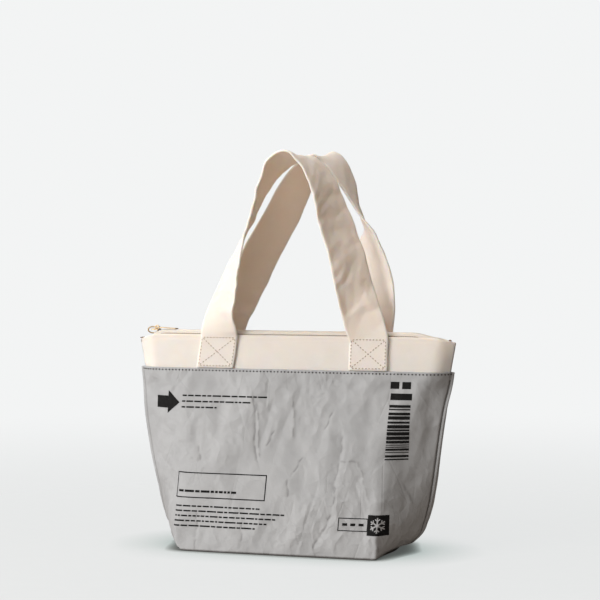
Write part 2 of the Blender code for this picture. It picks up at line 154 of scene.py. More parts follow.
# How far the sides stand out beyond SECTIONS, in millimetres. Columns: height, left seam, right seam,
# left front crease.
SIDES = [
    (0.0, 0.0, 0.0, -6.5),
    (1.5, 0.3, 0.3, -3.0),
    (4.0, 0.6, 1.0, 0.0),
    (8.0, 1.0, 1.3, 2.4),
    (15.0, 1.2, 0.7, 3.8),
    (24.0, 0.2, 0.2, 4.0),
    (36.0, -1.0, 0.2, 3.0),
    (50.0, -1.6, 0.5, 1.2),
    (66.0, -0.5, 0.4, 0.0),
    (84.0, 1.0, 0.1, 0.0),
    (110.0, 1.6, -0.7, 0.0),
    (130.0, 1.5, -0.9, 0.0),
    (150.0, 0.9, -0.3, 0.0),
    (162.5, 0.4, 0.0, 0.0),
]

# Free stations of each handle. Columns: x, as a share of half HANDLE_SPACING; how far out, as a share of
# the handle's lean; height, as a share of HANDLE_RISE; and the strap's turn in degrees. Those of the back
# handle's right leg differ a little from the CAD's.
FRONT_STATIONS = [
    (-1.000, 0.76, 0.029, -8.0),
    (-0.982, 0.84, 0.124, -27.0),
    (-0.862, 0.96, 0.279, -43.0),
    (-0.766, 1.00, 0.407, -54.0),
    (-0.656, 1.00, 0.529, -66.0),
    (-0.563, 0.96, 0.620, -76.0),
    (-0.450, 0.88, 0.748, -80.0),
    (-0.340, 0.84, 0.864, -87.0),
    (-0.205, 0.80, 0.952, -101.0),
    (0.032, 0.76, 1.000, -116.0),
    (0.243, 0.72, 0.949, -121.0),
    (0.377, 0.76, 0.861, -123.0),
    (0.476, 0.84, 0.748, -125.0),
    (0.610, 0.96, 0.590, -134.0),
    (0.710, 1.00, 0.474, -138.0),
    (0.812, 0.96, 0.297, -144.0),
    (0.912, 0.84, 0.124, -162.0),
    (0.978, 0.72, 0.023, -176.0),
]
BACK_STATIONS = [
    (-1.000, 0.35, 0.029, 4.0),
    (-0.935, 0.39, 0.121, 12.0),
    (-0.862, 0.48, 0.188, 20.0),
    (-0.672, 0.63, 0.358, 29.0),
    (-0.462, 0.74, 0.535, 36.0),
    (-0.285, 0.83, 0.672, 42.0),
    (-0.155, 0.91, 0.794, 45.0),
    (0.005, 0.96, 0.919, 54.0),
    (0.222, 1.00, 1.000, 66.0),
    (0.415, 1.00, 0.959, 79.0),
    (0.574, 0.94, 0.846, 90.0),
    (0.695, 0.87, 0.730, 98.0),
    (0.822, 0.78, 0.617, 107.0),
    (0.876, 0.70, 0.523, 134.0),
    (0.995, 0.57, 0.346, 154.0),
    (1.035, 0.44, 0.188, 165.0),
    (1.004, 0.33, 0.023, 176.0),
]

# Fine detail. Sizes of stitches are length, width and height.
COLUMNS = 160
ROW_STEP = 0.8
BASE_ROUND = 1.3
BASE_RADIUS = 2.0
HEM_LIP = 0.9
LIP_DEPTH = 7.0
SEAM_STRIP = 2.7
STITCH_DROP = 2.1
HEM_PITCH = 3.3
HEM_STITCH = (1.35, 1.35, 0.9)
# How far the band reaches down behind the hem, out of sight. It is less than in the CAD.
BAND_TUCK = 5.0
BOX_INSET = 2.0
BOX_PITCH = 3.0
BOX_STITCH = (1.5, 0.9, 0.8)
TAPE_PITCH = 2.1
TAPE_STITCH = (1.8, 0.7, 0.5)
TAPE_FOLD = 0.9
TACK = (3.2, 1.1, 0.9)
TOOTH_PITCH = 1.4
TOOTH = (1.9, 1.1, 1.1)
# Crumple of the paper. Columns: height, how much it is drawn out upward, size and seed of its facets.
CRUMPLE = ((0.95, 0.6, 31.0, 2), (0.60, 0.6, 14.0, 7), (0.20, 0.8, 6.5, 9))
# Height of a ridge at full rubbing and painted highlight, and how dark the paper's painted shade lines are, 0
# to 1
WORN_AND_HIGHLIT_RIDGE = 0.22
# The painted shade lines run along the left and right seam grooves, under the base and along sharp creases.
LEFT_SEAM_SHADE = 0.4
RIGHT_SEAM_SHADE = 0.93
UNDER_SHADE = 0.9
CREASE_SHADE = 0.38
PRINT_LIFT = 0.16
PRINT_STEP = 1.2
LOOKUP_STEP = 0.5

# Rows of bar tacks at the ends of the zip: the side they are on, x and z of the middle of the row.
TACK_ROWS = ((1, 146.2, 191.0), (-1, -148.9, 189.6))

# The slider's wire loop: x and z of its middle, half its width and height, and half its wire's two sizes.
LOOP_MIDDLE = (-139.2, 196.5)
LOOP_HALF = (4.9, 2.9)
LOOP_WIRE = (0.62, 0.9)

# Area lights: name, place and target in metres, size, power and colour
LIGHTS = (
    ("key", (-0.96, -1.04, 0.4), (0, 0, 0.13), 0.8, 14.6, (1.0, 0.985, 0.965)),
    ("top", (0.1, -0.2, 1.75), (0, 0, 0.2), 1.5, 13.0, (1.0, 0.97, 0.93)),
)

# World and floor. The world's stops run from its left to its right. FLOOR_HALF is in metres.
WORLD_STOPS = [(0.0, 0.84), (0.35, 0.82), (0.6, 0.42), (0.8, 0.08), (1.0, 0.03)]
WORLD_WARMTH = 0.38
WORLD_LIGHT = 1.06
BACKDROP = (0.895, 0.905, 0.905)
FLOOR_HALF = 9.0
FLOOR_DARK = (0.39, 0.355, 0.325)
FLOOR_LIGHT = (0.42, 0.38, 0.35)
FLOOR_GLOW = (0.882, 0.908, 0.915)
FLOOR_SHADE = (0.36, 0.47, 0.44)
CONTACT_SHADE = (0.10, 0.11, 0.105)
FLOOR_OWN = 0.8

# Camera, fitted to the photograph: tilt down and azimuth in degrees, place in metres
CAMERA_PLACE = (0.5488, -1.6723, 0.275)
CAMERA_TILT = 1.61
CAMERA_AZIMUTH = 18
SENSOR_WIDTH = 36.0
IMAGE_PIXELS = 600.0
FOCAL_PIXELS = 1927.2


def smooth(value, low, high):
    """0 below low, 1 above high, and an even bend between."""
    t = np.clip((value - low) / (high - low), 0.0, 1.0)
    return t * t * (3.0 - 2.0 * t)


def unit(vectors):
    """Each vector at length 1."""
    return vectors / np.linalg.norm(vectors, axis=1)[:, None]


def travelled(line):
    """The way along a polyline from its first point to each of its points."""
    return np.r_[0, np.cumsum(np.linalg.norm(np.diff(line, axis=0), axis=1))]


def placed(name, data):
    """A new object in the scene."""
    thing = bpy.data.objects.new(name, data)
    bpy.context.scene.collection.objects.link(thing)
    return thing


def hashed(i, j, seed):
    """A repeatable value from 0 to 1 for each pair of whole numbers."""
    n = (np.asarray(i).astype(np.int64) * 374761393 + np.asarray(j).astype(np.int64) * 668265263) & 0xFFFFFFFF
    n = (n + seed * 2246822519) & 0xFFFFFFFF
    n = ((n ^ (n >> 13)) * 1274126177) & 0xFFFFFFFF
    n = n ^ (n >> 16)
    return (n & 0xFFFF) / 65535.0


def noise(u, v, cell, seed):
    """Smooth noise from -1 to 1."""
    x, y = u / cell, v / cell
    i, j = np.floor(x), np.floor(y)
    fx, fy = x - i, y - j
    fx = fx * fx * (3 - 2 * fx)
    fy = fy * fy * (3 - 2 * fy)
    low = hashed(i, j, seed) * (1 - fx) + hashed(i + 1, j, seed) * fx
    high = hashed(i, j + 1, seed) * (1 - fx) + hashed(i + 1, j + 1, seed) * fx
    return 2 * (low * (1 - fy) + high * fy) - 1


def facets(u, v, cell, seed):
    """Flat facets that meet in creases, from -1 to 1."""
    a = u + 0.4 * cell * noise(u, v, 1.6 * cell, seed + 11)
    b = v + 0.4 * cell * noise(u, v, 1.6 * cell, seed + 12)
    turn = 0.7 * seed
    x = (a * math.cos(turn) + b * math.sin(turn)) / cell
    y = (b * math.cos(turn) - a * math.sin(turn)) / cell
    x = x + 0.5 * y
    i, j = np.floor(x), np.floor(y)
    fx, fy = x - i, y - j
    h00, h10 = hashed(i, j, seed), hashed(i + 1, j, seed)
    h01, h11 = hashed(i, j + 1, seed), hashed(i + 1, j + 1, seed)
    lower = h00 + fx * (h10 - h00) + fy * (h01 - h00)
    upper = h11 + (1 - fx) * (h01 - h11) + (1 - fy) * (h10 - h11)
    return 2 * np.where(fx + fy < 1, lower, upper) - 1


class Tree:
    """A node tree, with short calls to add and join nodes."""

    def __init__(self, tree):
        self.tree = tree

    def feed(self, socket, value):
        """Joins a socket to another, or sets its number, vector or colour."""
        if isinstance(value, bpy.types.NodeSocket):
            self.tree.links.new(value, socket)
        elif socket.type == "RGBA":
            socket.default_value = (*value, 1.0)
        else:
            socket.default_value = value

    def add(self, kind, inputs=None, **settings):
        """A new node. inputs holds what each of its sockets is fed."""
        made = self.tree.nodes.new(kind)
        for key, value in settings.items():
            setattr(made, key, value)
        for key, value in (inputs or {}).items():
            self.feed(made.inputs[key], value)
        return made

    def value(self, operation, *values):
        return self.add("ShaderNodeMath", dict(enumerate(values)), operation=operation).outputs[0]

    def scaled(self, vector, scale, turn=(0.0, 0.0, 0.0)):
        inputs = {"Vector": vector, "Scale": scale, "Rotation": turn}
        return self.add("ShaderNodeMapping", inputs).outputs[0]

    def noise(self, vector, scale, detail=2.0, roughness=0.5, stretch=None):
        if stretch is not None:
            vector = self.scaled(vector, stretch)
        inputs = {"Vector": vector, "Scale": scale, "Detail": detail, "Roughness": roughness}
        return self.add("ShaderNodeTexNoise", inputs).outputs["Fac"]

    def ranged(self, source, low=0.0, high=1.0, start=0.0, end=1.0, **settings):
        """A value that goes from low to high as the source goes from start to end."""
        inputs = {"Value": source, "From Min": start, "From Max": end, "To Min": low, "To Max": high}
        return self.add("ShaderNodeMapRange", inputs, **settings).outputs[0]

    def ramp(self, factor, stops):
        made = self.add("ShaderNodeValToRGB", {"Fac": factor})
        elements = made.color_ramp.elements
        while len(elements) < len(stops):
            elements.new(0.5)
        for element, (at, colour) in zip(elements, stops):
            element.position = at
            element.color = (*colour, 1.0)
        return made.outputs["Color"]

    def mix(self, factor, first, second):
        made = self.add("ShaderNodeMix", data_type="RGBA")
        sockets = [s for s in made.inputs if s.enabled]
        for socket, value in zip(sockets, (factor, first, second)):
            self.feed(socket, value)
        return [s for s in made.outputs if s.enabled][0]


class Look(Tree):
    """A material, with short calls for what its shader takes."""

    def __init__(self, name, roughness, metallic=0.0, specular=0.5):
        self.material = bpy.data.materials.new(name)
        self.material.use_nodes = True
        super().__init__(self.material.node_tree)
        self.shader = self.tree.nodes["Principled BSDF"]
        self.shader.inputs["Roughness"].default_value = roughness
        self.shader.inputs["Metallic"].default_value = metallic
        self.shader.inputs["Specular IOR Level"].default_value = specular

    def place(self):
        return self.add("ShaderNodeTexCoord").outputs["Object"]

    def attribute(self, name):
        return self.add("ShaderNodeAttribute", attribute_name=name).outputs["Fac"]

    def colour(self, source):
        self.feed(self.shader.inputs["Base Color"], source)

    def rough(self, source, low, high):
        self.feed(self.shader.inputs["Roughness"], self.ranged(source, low, high))

    def bump(self, height, strength, distance, under=None):
        made = self.add("ShaderNodeBump", {"Height": height, "Strength": strength, "Distance": distance})
        if under is not None:
            self.feed(made.inputs["Normal"], under)
        self.feed(self.shader.inputs["Normal"], made.outputs[0])
        return made.outputs[0]


def paper_material():
    """Washed paper: matt grey with a faint mottle, fine fibres, paler ridges from rubbing and painted
    highlight, and painted shade lines.
    """
    n = Look("washed_paper", 0.55, specular=0.4)
    place = n.place()
    mottle = n.noise(place, 28.0, 4.0, 0.6)
    base = n.ramp(mottle, [(0.3, (0.322, 0.329, 0.339)), (0.7, (0.388, 0.396, 0.407))])
    # Ridges are painted paler, partly for rubbing and partly as painted highlight.
    worn_and_highlit = n.mix(n.value("MULTIPLY", n.attribute("wear_and_highlight"), 0.2), base, (0.46, 0.465, 0.47))
    # Painted shade, near black, along the seam grooves, under the base and along sharp creases.
    n.colour(n.mix(n.attribute("seam"), worn_and_highlit, (0.045, 0.04, 0.036)))
    n.rough(mottle, 0.48, 0.66)
    # A net of fine creases: each cell of a bent Voronoi pattern is a small facet.
    bend = n.add("ShaderNodeTexNoise", {"Vector": place, "Scale": 52.0, "Detail": 2.0})
    moved = {0: bend.outputs["Color"], 1: (0.016, 0.016, 0.022), 2: place}
    bent = n.add("ShaderNodeVectorMath", moved, operation="MULTIPLY_ADD").outputs[0]
    patches = n.value("MULTIPLY_ADD", n.noise(place, 14.0, 2.0), 2.2, -0.6)
    normal = None
    for scale, distance, stretch in ((38.0, 0.0072, (1.0, 1.0, 0.62)), (92.0, 0.0030, (1.0, 1.0, 0.8))):
        inputs = {"Vector": n.scaled(bent, stretch), "Scale": scale}
        cell = n.add("ShaderNodeTexVoronoi", inputs, feature="F1")
        normal = n.bump(n.value("MULTIPLY", cell.outputs["Distance"], patches), 0.5, distance, normal)
    # Thin sharp creases where the sheet has been crushed, in some places only.
    spread = n.noise(place, 19.0, 2.0, 0.5, (1.0, 1.0, 0.7))
    crushed = n.ranged(spread, start=0.44, end=0.60, interpolation_type="SMOOTHSTEP")
    slanted = n.scaled(place, (1.0, 1.0, 0.5), (0.0, 0.35, 0.0))
    for scale, depth in ((21.0, 0.00055), (47.0, 0.00028)):
        inputs = {"Vector": slanted, "Scale": scale}
        net = n.add("ShaderNodeTexVoronoi", inputs, feature="DISTANCE_TO_EDGE")
        valley = n.value("MINIMUM", n.value("MULTIPLY", net.outputs["Distance"], 22.0), 1.0)
        normal = n.bump(n.value("MULTIPLY", valley, crushed), 0.5, depth, normal)
    n.bump(n.noise(place, 420.0, 3.0, 0.65), 0.25, 0.0003, normal)
    return n.material


def cloth_material(name, light, dark, pitch, roughness=0.9, strength=0.5):
    """Plain-weave cotton. The UV map is in units of 100 mm, so the weave keeps its real size."""
    n = Look(name, roughness, specular=0.25)
    n.shader.inputs["Sheen Weight"].default_value = 0.08
    n.shader.inputs["Sheen Roughness"].default_value = 0.6
    n.shader.inputs["Subsurface Weight"].default_value = 0.4
    n.shader.inputs["Subsurface Radius"].default_value = (1.0, 0.6, 0.34)
    n.shader.inputs["Subsurface Scale"].default_value = 0.006
    uv = n.add("ShaderNodeUVMap", uv_map="weave").outputs["UV"]
    split = n.add("ShaderNodeSeparateXYZ", {0: uv})
    waves = 2 * math.pi * 100.0 / pitch
    warp, weft = (n.value("SINE", n.value("MULTIPLY", split.outputs[k], waves)) for k in (0, 1))
    weave = n.value("MULTIPLY_ADD", n.value("MULTIPLY", warp, weft), 0.5, 0.5)
    slub_a = n.noise(uv, 70.0, 3.0, 0.6, (1.0, 9.0, 1.0))
    slub_b = n.noise(uv, 70.0, 3.0, 0.6, (9.0, 1.0, 1.0))
    slubs = n.value("MULTIPLY", n.value("ADD", slub_a, slub_b), 0.5)
    cloud = n.noise(uv, 4.0, 3.0, 0.6)
    tone = n.value("ADD", n.value("MULTIPLY", slubs, 0.7), n.value("MULTIPLY", cloud, 0.3))
    base = n.ramp(tone, [(0.36, dark), (0.62, light)])
    shade = tuple(0.82 * c for c in dark)
    cloth = n.mix(n.value("MULTIPLY", n.value("SUBTRACT", 1.0, weave), 0.28), base, shade)
    # The straps' turned edges are painted paler: a painted highlight along them.
    n.colour(n.mix(n.value("MULTIPLY", n.attribute("edge"), 0.6), cloth, (0.97, 0.93, 0.87)))
    n.rough(slubs, roughness - 0.08, min(roughness + 0.06, 1.0))
    n.bump(weave, strength, 0.0004, n.bump(slubs, 0.4, 0.0008))
    return n.material


def grained(name, grain, stops, roughness, metallic=0.0, specular=0.5, rough=None, bump=None):
    """A material whose colour, gloss and height follow one fine noise of grain's scale and detail."""
    n = Look(name, roughness, metallic, specular)
    noise = n.noise(n.place(), *grain)
    n.colour(n.ramp(noise, stops))
    if rough:
        n.rough(noise, *rough)
    if bump:
        n.bump(noise, *bump)
    return n.material


def thread_material(name, light, dark):
    """Sewing thread whose tone varies between light and dark."""
    return grained(name, (900.0, 2.0), [(0.35, dark), (0.65, light)], 0.8, 0.0, 0.3, bump=(0.3, 0.0002))


PAPER = paper_material()
CANVAS = cloth_material("cotton_canvas", (0.93, 0.83, 0.77), (0.86, 0.75, 0.675), 0.95)
TAPE = cloth_material("zip_tape", (0.90, 0.79, 0.70), (0.82, 0.70, 0.60), 0.6, 0.85, 0.4)
# Screen print: near black, slightly uneven where the paper's grain shows through
INK = grained(
    "print_ink",
    (300.0, 3.0, 0.6),
    [(0.35, (0.004, 0.004, 0.004)), (0.75, (0.011, 0.011, 0.011))],
    0.7,
    specular=0.12,
    rough=(0.65, 0.8),
    bump=(0.2, 0.0003),
)
BRASS = grained(
    "polished_brass",
    (260.0, 4.0, 0.6),
    [(0.3, (0.28, 0.20, 0.12)), (0.7, (0.52, 0.40, 0.25))],
    0.28,
    1.0,
    rough=(0.2, 0.42),
    bump=(0.08, 0.0003),
)
TEETH = grained(
    "coil_teeth",
    (500.0, 2.0),
    [(0.3, (0.60, 0.50, 0.38)), (0.7, (0.76, 0.68, 0.56))],
    0.4,
    rough=(0.32, 0.5),
)
DARK_THREAD = thread_material("dark_thread", (0.06, 0.055, 0.055), (0.022, 0.02, 0.02))
CREAM_THREAD = thread_material("cream_thread", (0.54, 0.41, 0.30), (0.36, 0.25, 0.17))
BROWN_THREAD = thread_material("brown_thread", (0.34, 0.23, 0.15), (0.16, 0.10, 0.06))


def volume_of(points, faces):
    """Six times the volume inside the faces, below zero where they are inside out."""
    corners = [(f[0], f[k], f[k + 1]) for f in faces for k in range(1, len(f) - 1)]
    a, b, c = points[np.array(corners)].transpose(1, 0, 2)
    return (a * np.cross(b, c)).sum()


def piece(name, points, faces, look, node=(), uv=None, attributes=None, solid=True):
    """A mesh piece from points in millimetres. uv has one pair for each corner of each face."""
    points = np.asarray(points, float)
    mesh = bpy.data.meshes.new(name)
    if solid and volume_of(points, faces) < 0:
        faces = [tuple(reversed(face)) for face in faces]
        if uv is not None:
            at = 0
            turned = []
            for face in faces:
                turned.extend(list(uv[at : at + len(face)])[::-1])
                at += len(face)
            uv = turned
    mesh.from_pydata((points * MM).tolist(), [], [tuple(int(i) for i in face) for face in faces])
    mesh.update()
    if uv is not None:
        layer = mesh.uv_layers.new(name="weave")
        layer.data.foreach_set("uv", np.asarray(uv, float).ravel())
    for key, values in (attributes or {}).items():
        layer = mesh.attributes.new(key, "FLOAT", "POINT")
        layer.data.foreach_set("value", np.asarray(values, float).ravel())
    mesh.materials.append(look)
    mesh.shade_smooth()
    thing = placed(name, mesh)
    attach(thing, "bag")
    if node:
        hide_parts(*node)


def grid_faces(rows, columns):
    """Quads of a grid of points, closed round its columns."""
    low = np.arange(rows - 1)[:, None] * columns
    high = low + columns
    here = np.arange(columns)[None, :]
    after = (here + 1) % columns
    quads = np.stack([low + here, low + after, high + after, high + here], axis=-1)
    return [tuple(face) for face in quads.reshape(-1, 4)]


def grid_uv(u, v, girth):
    """Corner UVs for grid_faces, from millimetres. girth is the length round each ring."""
    u = np.column_stack([u, u[:, 0]])
    v = np.column_stack([v, girth])
    low, high = slice(None, -1), slice(1, None)
    corners = [(low, low), (low, high), (high, high), (high, low)]
    return np.stack([np.stack([u[s], v[s]], axis=-1) for s in corners], axis=2).reshape(-1, 2) / 100.0


def tube(name, grid, look, uv_pair, girth, node=(), attributes=None):
    """A closed piece from a grid of rings, with its two ends filled."""
    rows, columns = grid.shape[:2]
    faces = grid_faces(rows, columns)
    uv = list(grid_uv(*uv_pair, girth))
    for row in (0, rows - 1):
        loop = [row * columns + k for k in range(columns)]
        flat = grid[row][:, [0, 2]] / 100.0
        faces.append(tuple(loop[::-1] if row == 0 else loop))
        uv.extend(flat[::-1] if row == 0 else flat)
    piece(name, grid.reshape(-1, 3), faces, look, node, uv, attributes)


# Body


def table_at(at):
    """The body's section columns at a share of HEM_TOP, on a smooth curve through the table."""
    x = SECTIONS[:, 0]
    y = SECTIONS[:, 1:]
    slope = np.gradient(y, x, axis=0)
    i = int(np.clip(np.searchsorted(x, at, side="right") - 1, 0, len(x) - 2))
    h = x[i + 1] - x[i]
    t = (at - x[i]) / h
    a = (1 + 2 * t) * (1 - t) ** 2
    b = t * (1 - t) ** 2 * h
    c = t * t * (3 - 2 * t)
    d = t * t * (t - 1) * h
    # Near the base the width turns fast, so its own straight course is kept there.
    curve = a * y[i] + b * slope[i] + c * y[i + 1] + d * slope[i + 1]
    straight = (1 - t) * y[i] + t * y[i + 1]
    keep = smooth(at, 0.02, 0.1)
    return keep * curve + (1 - keep) * straight


def section_at(z):
    """Seam rise, half width, half depth, crease x and seam y at a height of the front."""
    rise, width, depth, crease, forward = table_at(z / HEM_TOP)
    low = BASE_WIDTH / 2 + BASE_END
    return (
        rise * HEM_TOP,
        low + (HEM_WIDTH / 2 - low) * width,
        HEM_DEPTH / 2 + (BASE_DEPTH - HEM_DEPTH) / 2 * depth,
        BASE_WIDTH / 2 + (HEM_CREASE - BASE_WIDTH) / 2 * crease,
        -forward * BASE_DEPTH / 2,
    )


def rounded_path(corners, radius, shares):
    """Points at shares of the length of a polyline whose inner corners are rounded."""
    corners = [np.array(c, float) for c in corners]
    dense = [corners[0]]
    for i in range(1, len(corners) - 1):
        before = corners[i - 1] - corners[i]
        after = corners[i + 1] - corners[i]
        cut = min(radius, 0.48 * np.linalg.norm(before), 0.48 * np.linalg.norm(after))
        start = corners[i] + before / np.linalg.norm(before) * cut
        end = corners[i] + after / np.linalg.norm(after) * cut
        for t in np.linspace(0, 1, 25):
            dense.append((1 - t) ** 2 * start + 2 * t * (1 - t) * corners[i] + t * t * end)
    dense.append(corners[-1])
    dense = np.array(dense)
    step = travelled(dense)
    at = shares * step[-1]
    return np.c_[np.interp(at, step, dense[:, 0]), np.interp(at, step, dense[:, 1])], step[-1]


def quarter(half, depth, crease, seam_y, side, inset, shares, radius=CREASE_RADIUS, bow=0.06):
    """One quarter of a level section, from the middle of a face to the seam. side is -1 for the front."""
    crown = bow * depth
    edge = crease - 0.6 * inset
    if side < 0:
        corners = [
            (0.0, inset - depth),
            (0.55 * crease, inset - depth + 0.25 * crown),
            (edge, inset - depth + crown),
            (half - inset, seam_y),
        ]
    else:
        corners = [
            (0.0, depth - inset),
            (0.55 * crease, depth - inset - 0.25 * crown),
            (edge, depth - inset - crown),
            (half - inset, 0.05 * depth),
            (half - inset - 0.4, seam_y),
        ]
    return rounded_path(corners, radius, shares)


def ring(z, inset, shares):
    """A closed loop of the body at a height, its length from the middle of a face, and its seam gap."""
    rise, half, depth, crease, seam_y = section_at(z)
    radius = BASE_RADIUS + (CREASE_RADIUS - BASE_RADIUS) * smooth(z, 10.0, 125.0)
    bow = 0.015 + 0.045 * smooth(z, 0.0, 45.0)
    front, front_length = quarter(half, depth, crease, seam_y, -1, inset, shares, radius, bow)
    back, back_length = quarter(half, depth, crease, seam_y, 1, inset, shares, radius, bow)
    back[-1] = front[-1]
    lift = rise * smooth(shares, 0.55, 1.0)
    n = len(shares)
    f = np.column_stack([front, z + lift])
    b = np.column_stack([back, z + lift])
    loop = np.vstack([f[:0:-1] * (-1, 1, 1), f, b[n - 2 :: -1], b[1 : n - 1] * (-1, 1, 1)])
    u_front = shares * front_length
    u_back = shares * back_length
    # The back runs on its own coordinates, so that its folds differ from the front's.
    u = np.r_[-u_front[:0:-1], u_front, 700.0 + u_back[n - 2 :: -1], 700.0 - u_back[1 : n - 1]]
    gap_front = front_length - u_front
    gap_back = back_length - u_back
    gap = np.r_[gap_front[:0:-1], gap_front, gap_back[n - 2 :: -1], gap_back[1 : n - 1]]
    return loop, u, gap


def fold_push(x, z, mirrored=False):
    """How far in the named folds push a point of a face, in millimetres, and how near it is to a crease."""
    total = np.zeros_like(x)
    crease = np.zeros_like(x)
    half = HEM_WIDTH / 2
    for x0, z0, x1, z1, depth, left, right, sharp in FOLDS:
        start = np.array([x0 * half, z0 * HEM_TOP])
        end = np.array([x1 * half, z1 * HEM_TOP])
        if mirrored:
            start[0], end[0] = -0.93 * start[0] + 6.0, -0.93 * end[0] + 6.0
        length = np.linalg.norm(end - start)
        along = (end - start) / length
        dx, dz = x - start[0], z - start[1]
        t = dx * along[0] + dz * along[1]
        # The lines bend a little, as real creases do.
        wander = 1.6 * noise(t, 0 * t, 9.0, 31) + 0.35 * noise(t, 0 * t, 3.7, 32)
        away = dx * along[1] - dz * along[0] + wander * smooth(t, 0, 6.0)
        over = np.maximum(np.maximum(-t, t - length), 0.0)
        width = np.where(away < 0, left, right) * HEM_TOP * (0.72 if sharp > 0.4 else 1.0)
        d = np.sqrt(away**2 + over**2) / width
        soft = np.exp(-(d**2))
        tent = np.exp(-2.2 * d) * (1 - smooth(d, 0.7, 2.2))
        total += 0.8 * depth * HEM_TOP * ((1 - sharp) * soft + sharp * tent)
        broken = smooth(noise(t, 0 * t + 9.0 * depth, 5.0, 33), -0.7, 0.1)
        line = np.exp(-((away / 0.75) ** 2)) * (1 - smooth(over, 0.0, 3.0)) * broken
        crease = np.maximum(crease, line * (sharp > 0.5))
    return total, crease


def normals_of(grid):
    """Unit normals of a grid of points that is closed round its columns."""
    normal = np.cross(np.roll(grid, -1, axis=1) - np.roll(grid, 1, axis=1), np.gradient(grid, axis=0))
    return normal / np.maximum(np.linalg.norm(normal, axis=2, keepdims=True), 1e-9)


def sway(grid, gap):
    """Lets the two sides hang a little differently, and the left front crease lean out above the base."""
    x, z = grid[:, :, 0], grid[:, :, 2]
    heights, left_out, right_out, crease_out = np.array(SIDES).T
    near_seam = 1 - smooth(gap, 6.0, 34.0)
    left = smooth(-x, 60.0, 90.0)
    right = smooth(x, 60.0, 90.0)
    front_side = smooth(-grid[:, :, 1], 4.0, 24.0)
    x -= left * near_seam * np.interp(z, heights, left_out)
    x += right * near_seam * np.interp(z, heights, right_out)
    x -= left * (1 - near_seam) * front_side * np.interp(z, heights, crease_out)


def relief(x, z, u, gap):
    """How far each point of the paper stands out, and how near it is to a crease line."""
    front = np.broadcast_to(np.arange(4 * COLUMNS) <= 2 * COLUMNS, x.shape)
    # Named folds, on the front as photographed and on the back mirrored and shifted.
    front_push, front_crease = fold_push(x, z)
    back_push, back_crease = fold_push(x, z, True)
    push = np.where(front, front_push, 0.8 * back_push)
    crease = np.where(front, front_crease, back_crease)
    # Soft upright waves where the bag is gathered by the zip, strongest under the hem.
    waves = 0.60 * noise(u, 0.16 * z, 14.0, 3) + 0.26 * noise(u, 0.3 * z, 7.0, 4)
    waves *= smooth(z, 40.0, 120.0) * (1 - smooth(z, 150.0, 160.0))
    waves *= 1 - 0.5 * smooth(np.abs(x), 90.0, 140.0)
    # Crumple in flat facets, stronger in some places than in others.
    rough = 0.35 + 0.65 * smooth(noise(u, z, 60.0, 5), -0.5, 0.7)
    crumple = sum(height * facets(u, share * z, cell, seed) for height, share, cell, seed in CRUMPLE)
    calm = smooth(z, 1.0, 14.0) * (1 - smooth(z, 148.0, 158.0)) * smooth(gap, 1.0, 14.0)
    move = (waves * smooth(gap, 2.0, 20.0) + rough * crumple * calm) - push * calm
    # A low wander keeps the sides from being quite flat.
    between = smooth(z, 2.0, 20.0) * (1 - smooth(z, 148.0, 160.0))
    move += 0.5 * noise(u, z, 38.0, 6) * smooth(gap, 2.0, 16.0) * between
    # The side seam: a soft rolled strip with a narrow groove on each side of it.
    deep = np.where(x > 0, 1.0, 0.45)
    rolled = 0.5 * np.exp(-((gap / 1.6) ** 2)) - deep * np.exp(-(((gap - SEAM_STRIP) / 0.8) ** 2))
    move += rolled * smooth(z, 2.0, 8.0)
    # The hem is sewn down along the stitch line.
    drop = HEM_TOP - z
    move -= 0.15 * np.exp(-(((drop - STITCH_DROP) / 0.9) ** 2))
    move += 0.12 * noise(u, 0 * z, 5.0, 8) * (1 - smooth(drop, 2.0, 9.0))
    return move, crease


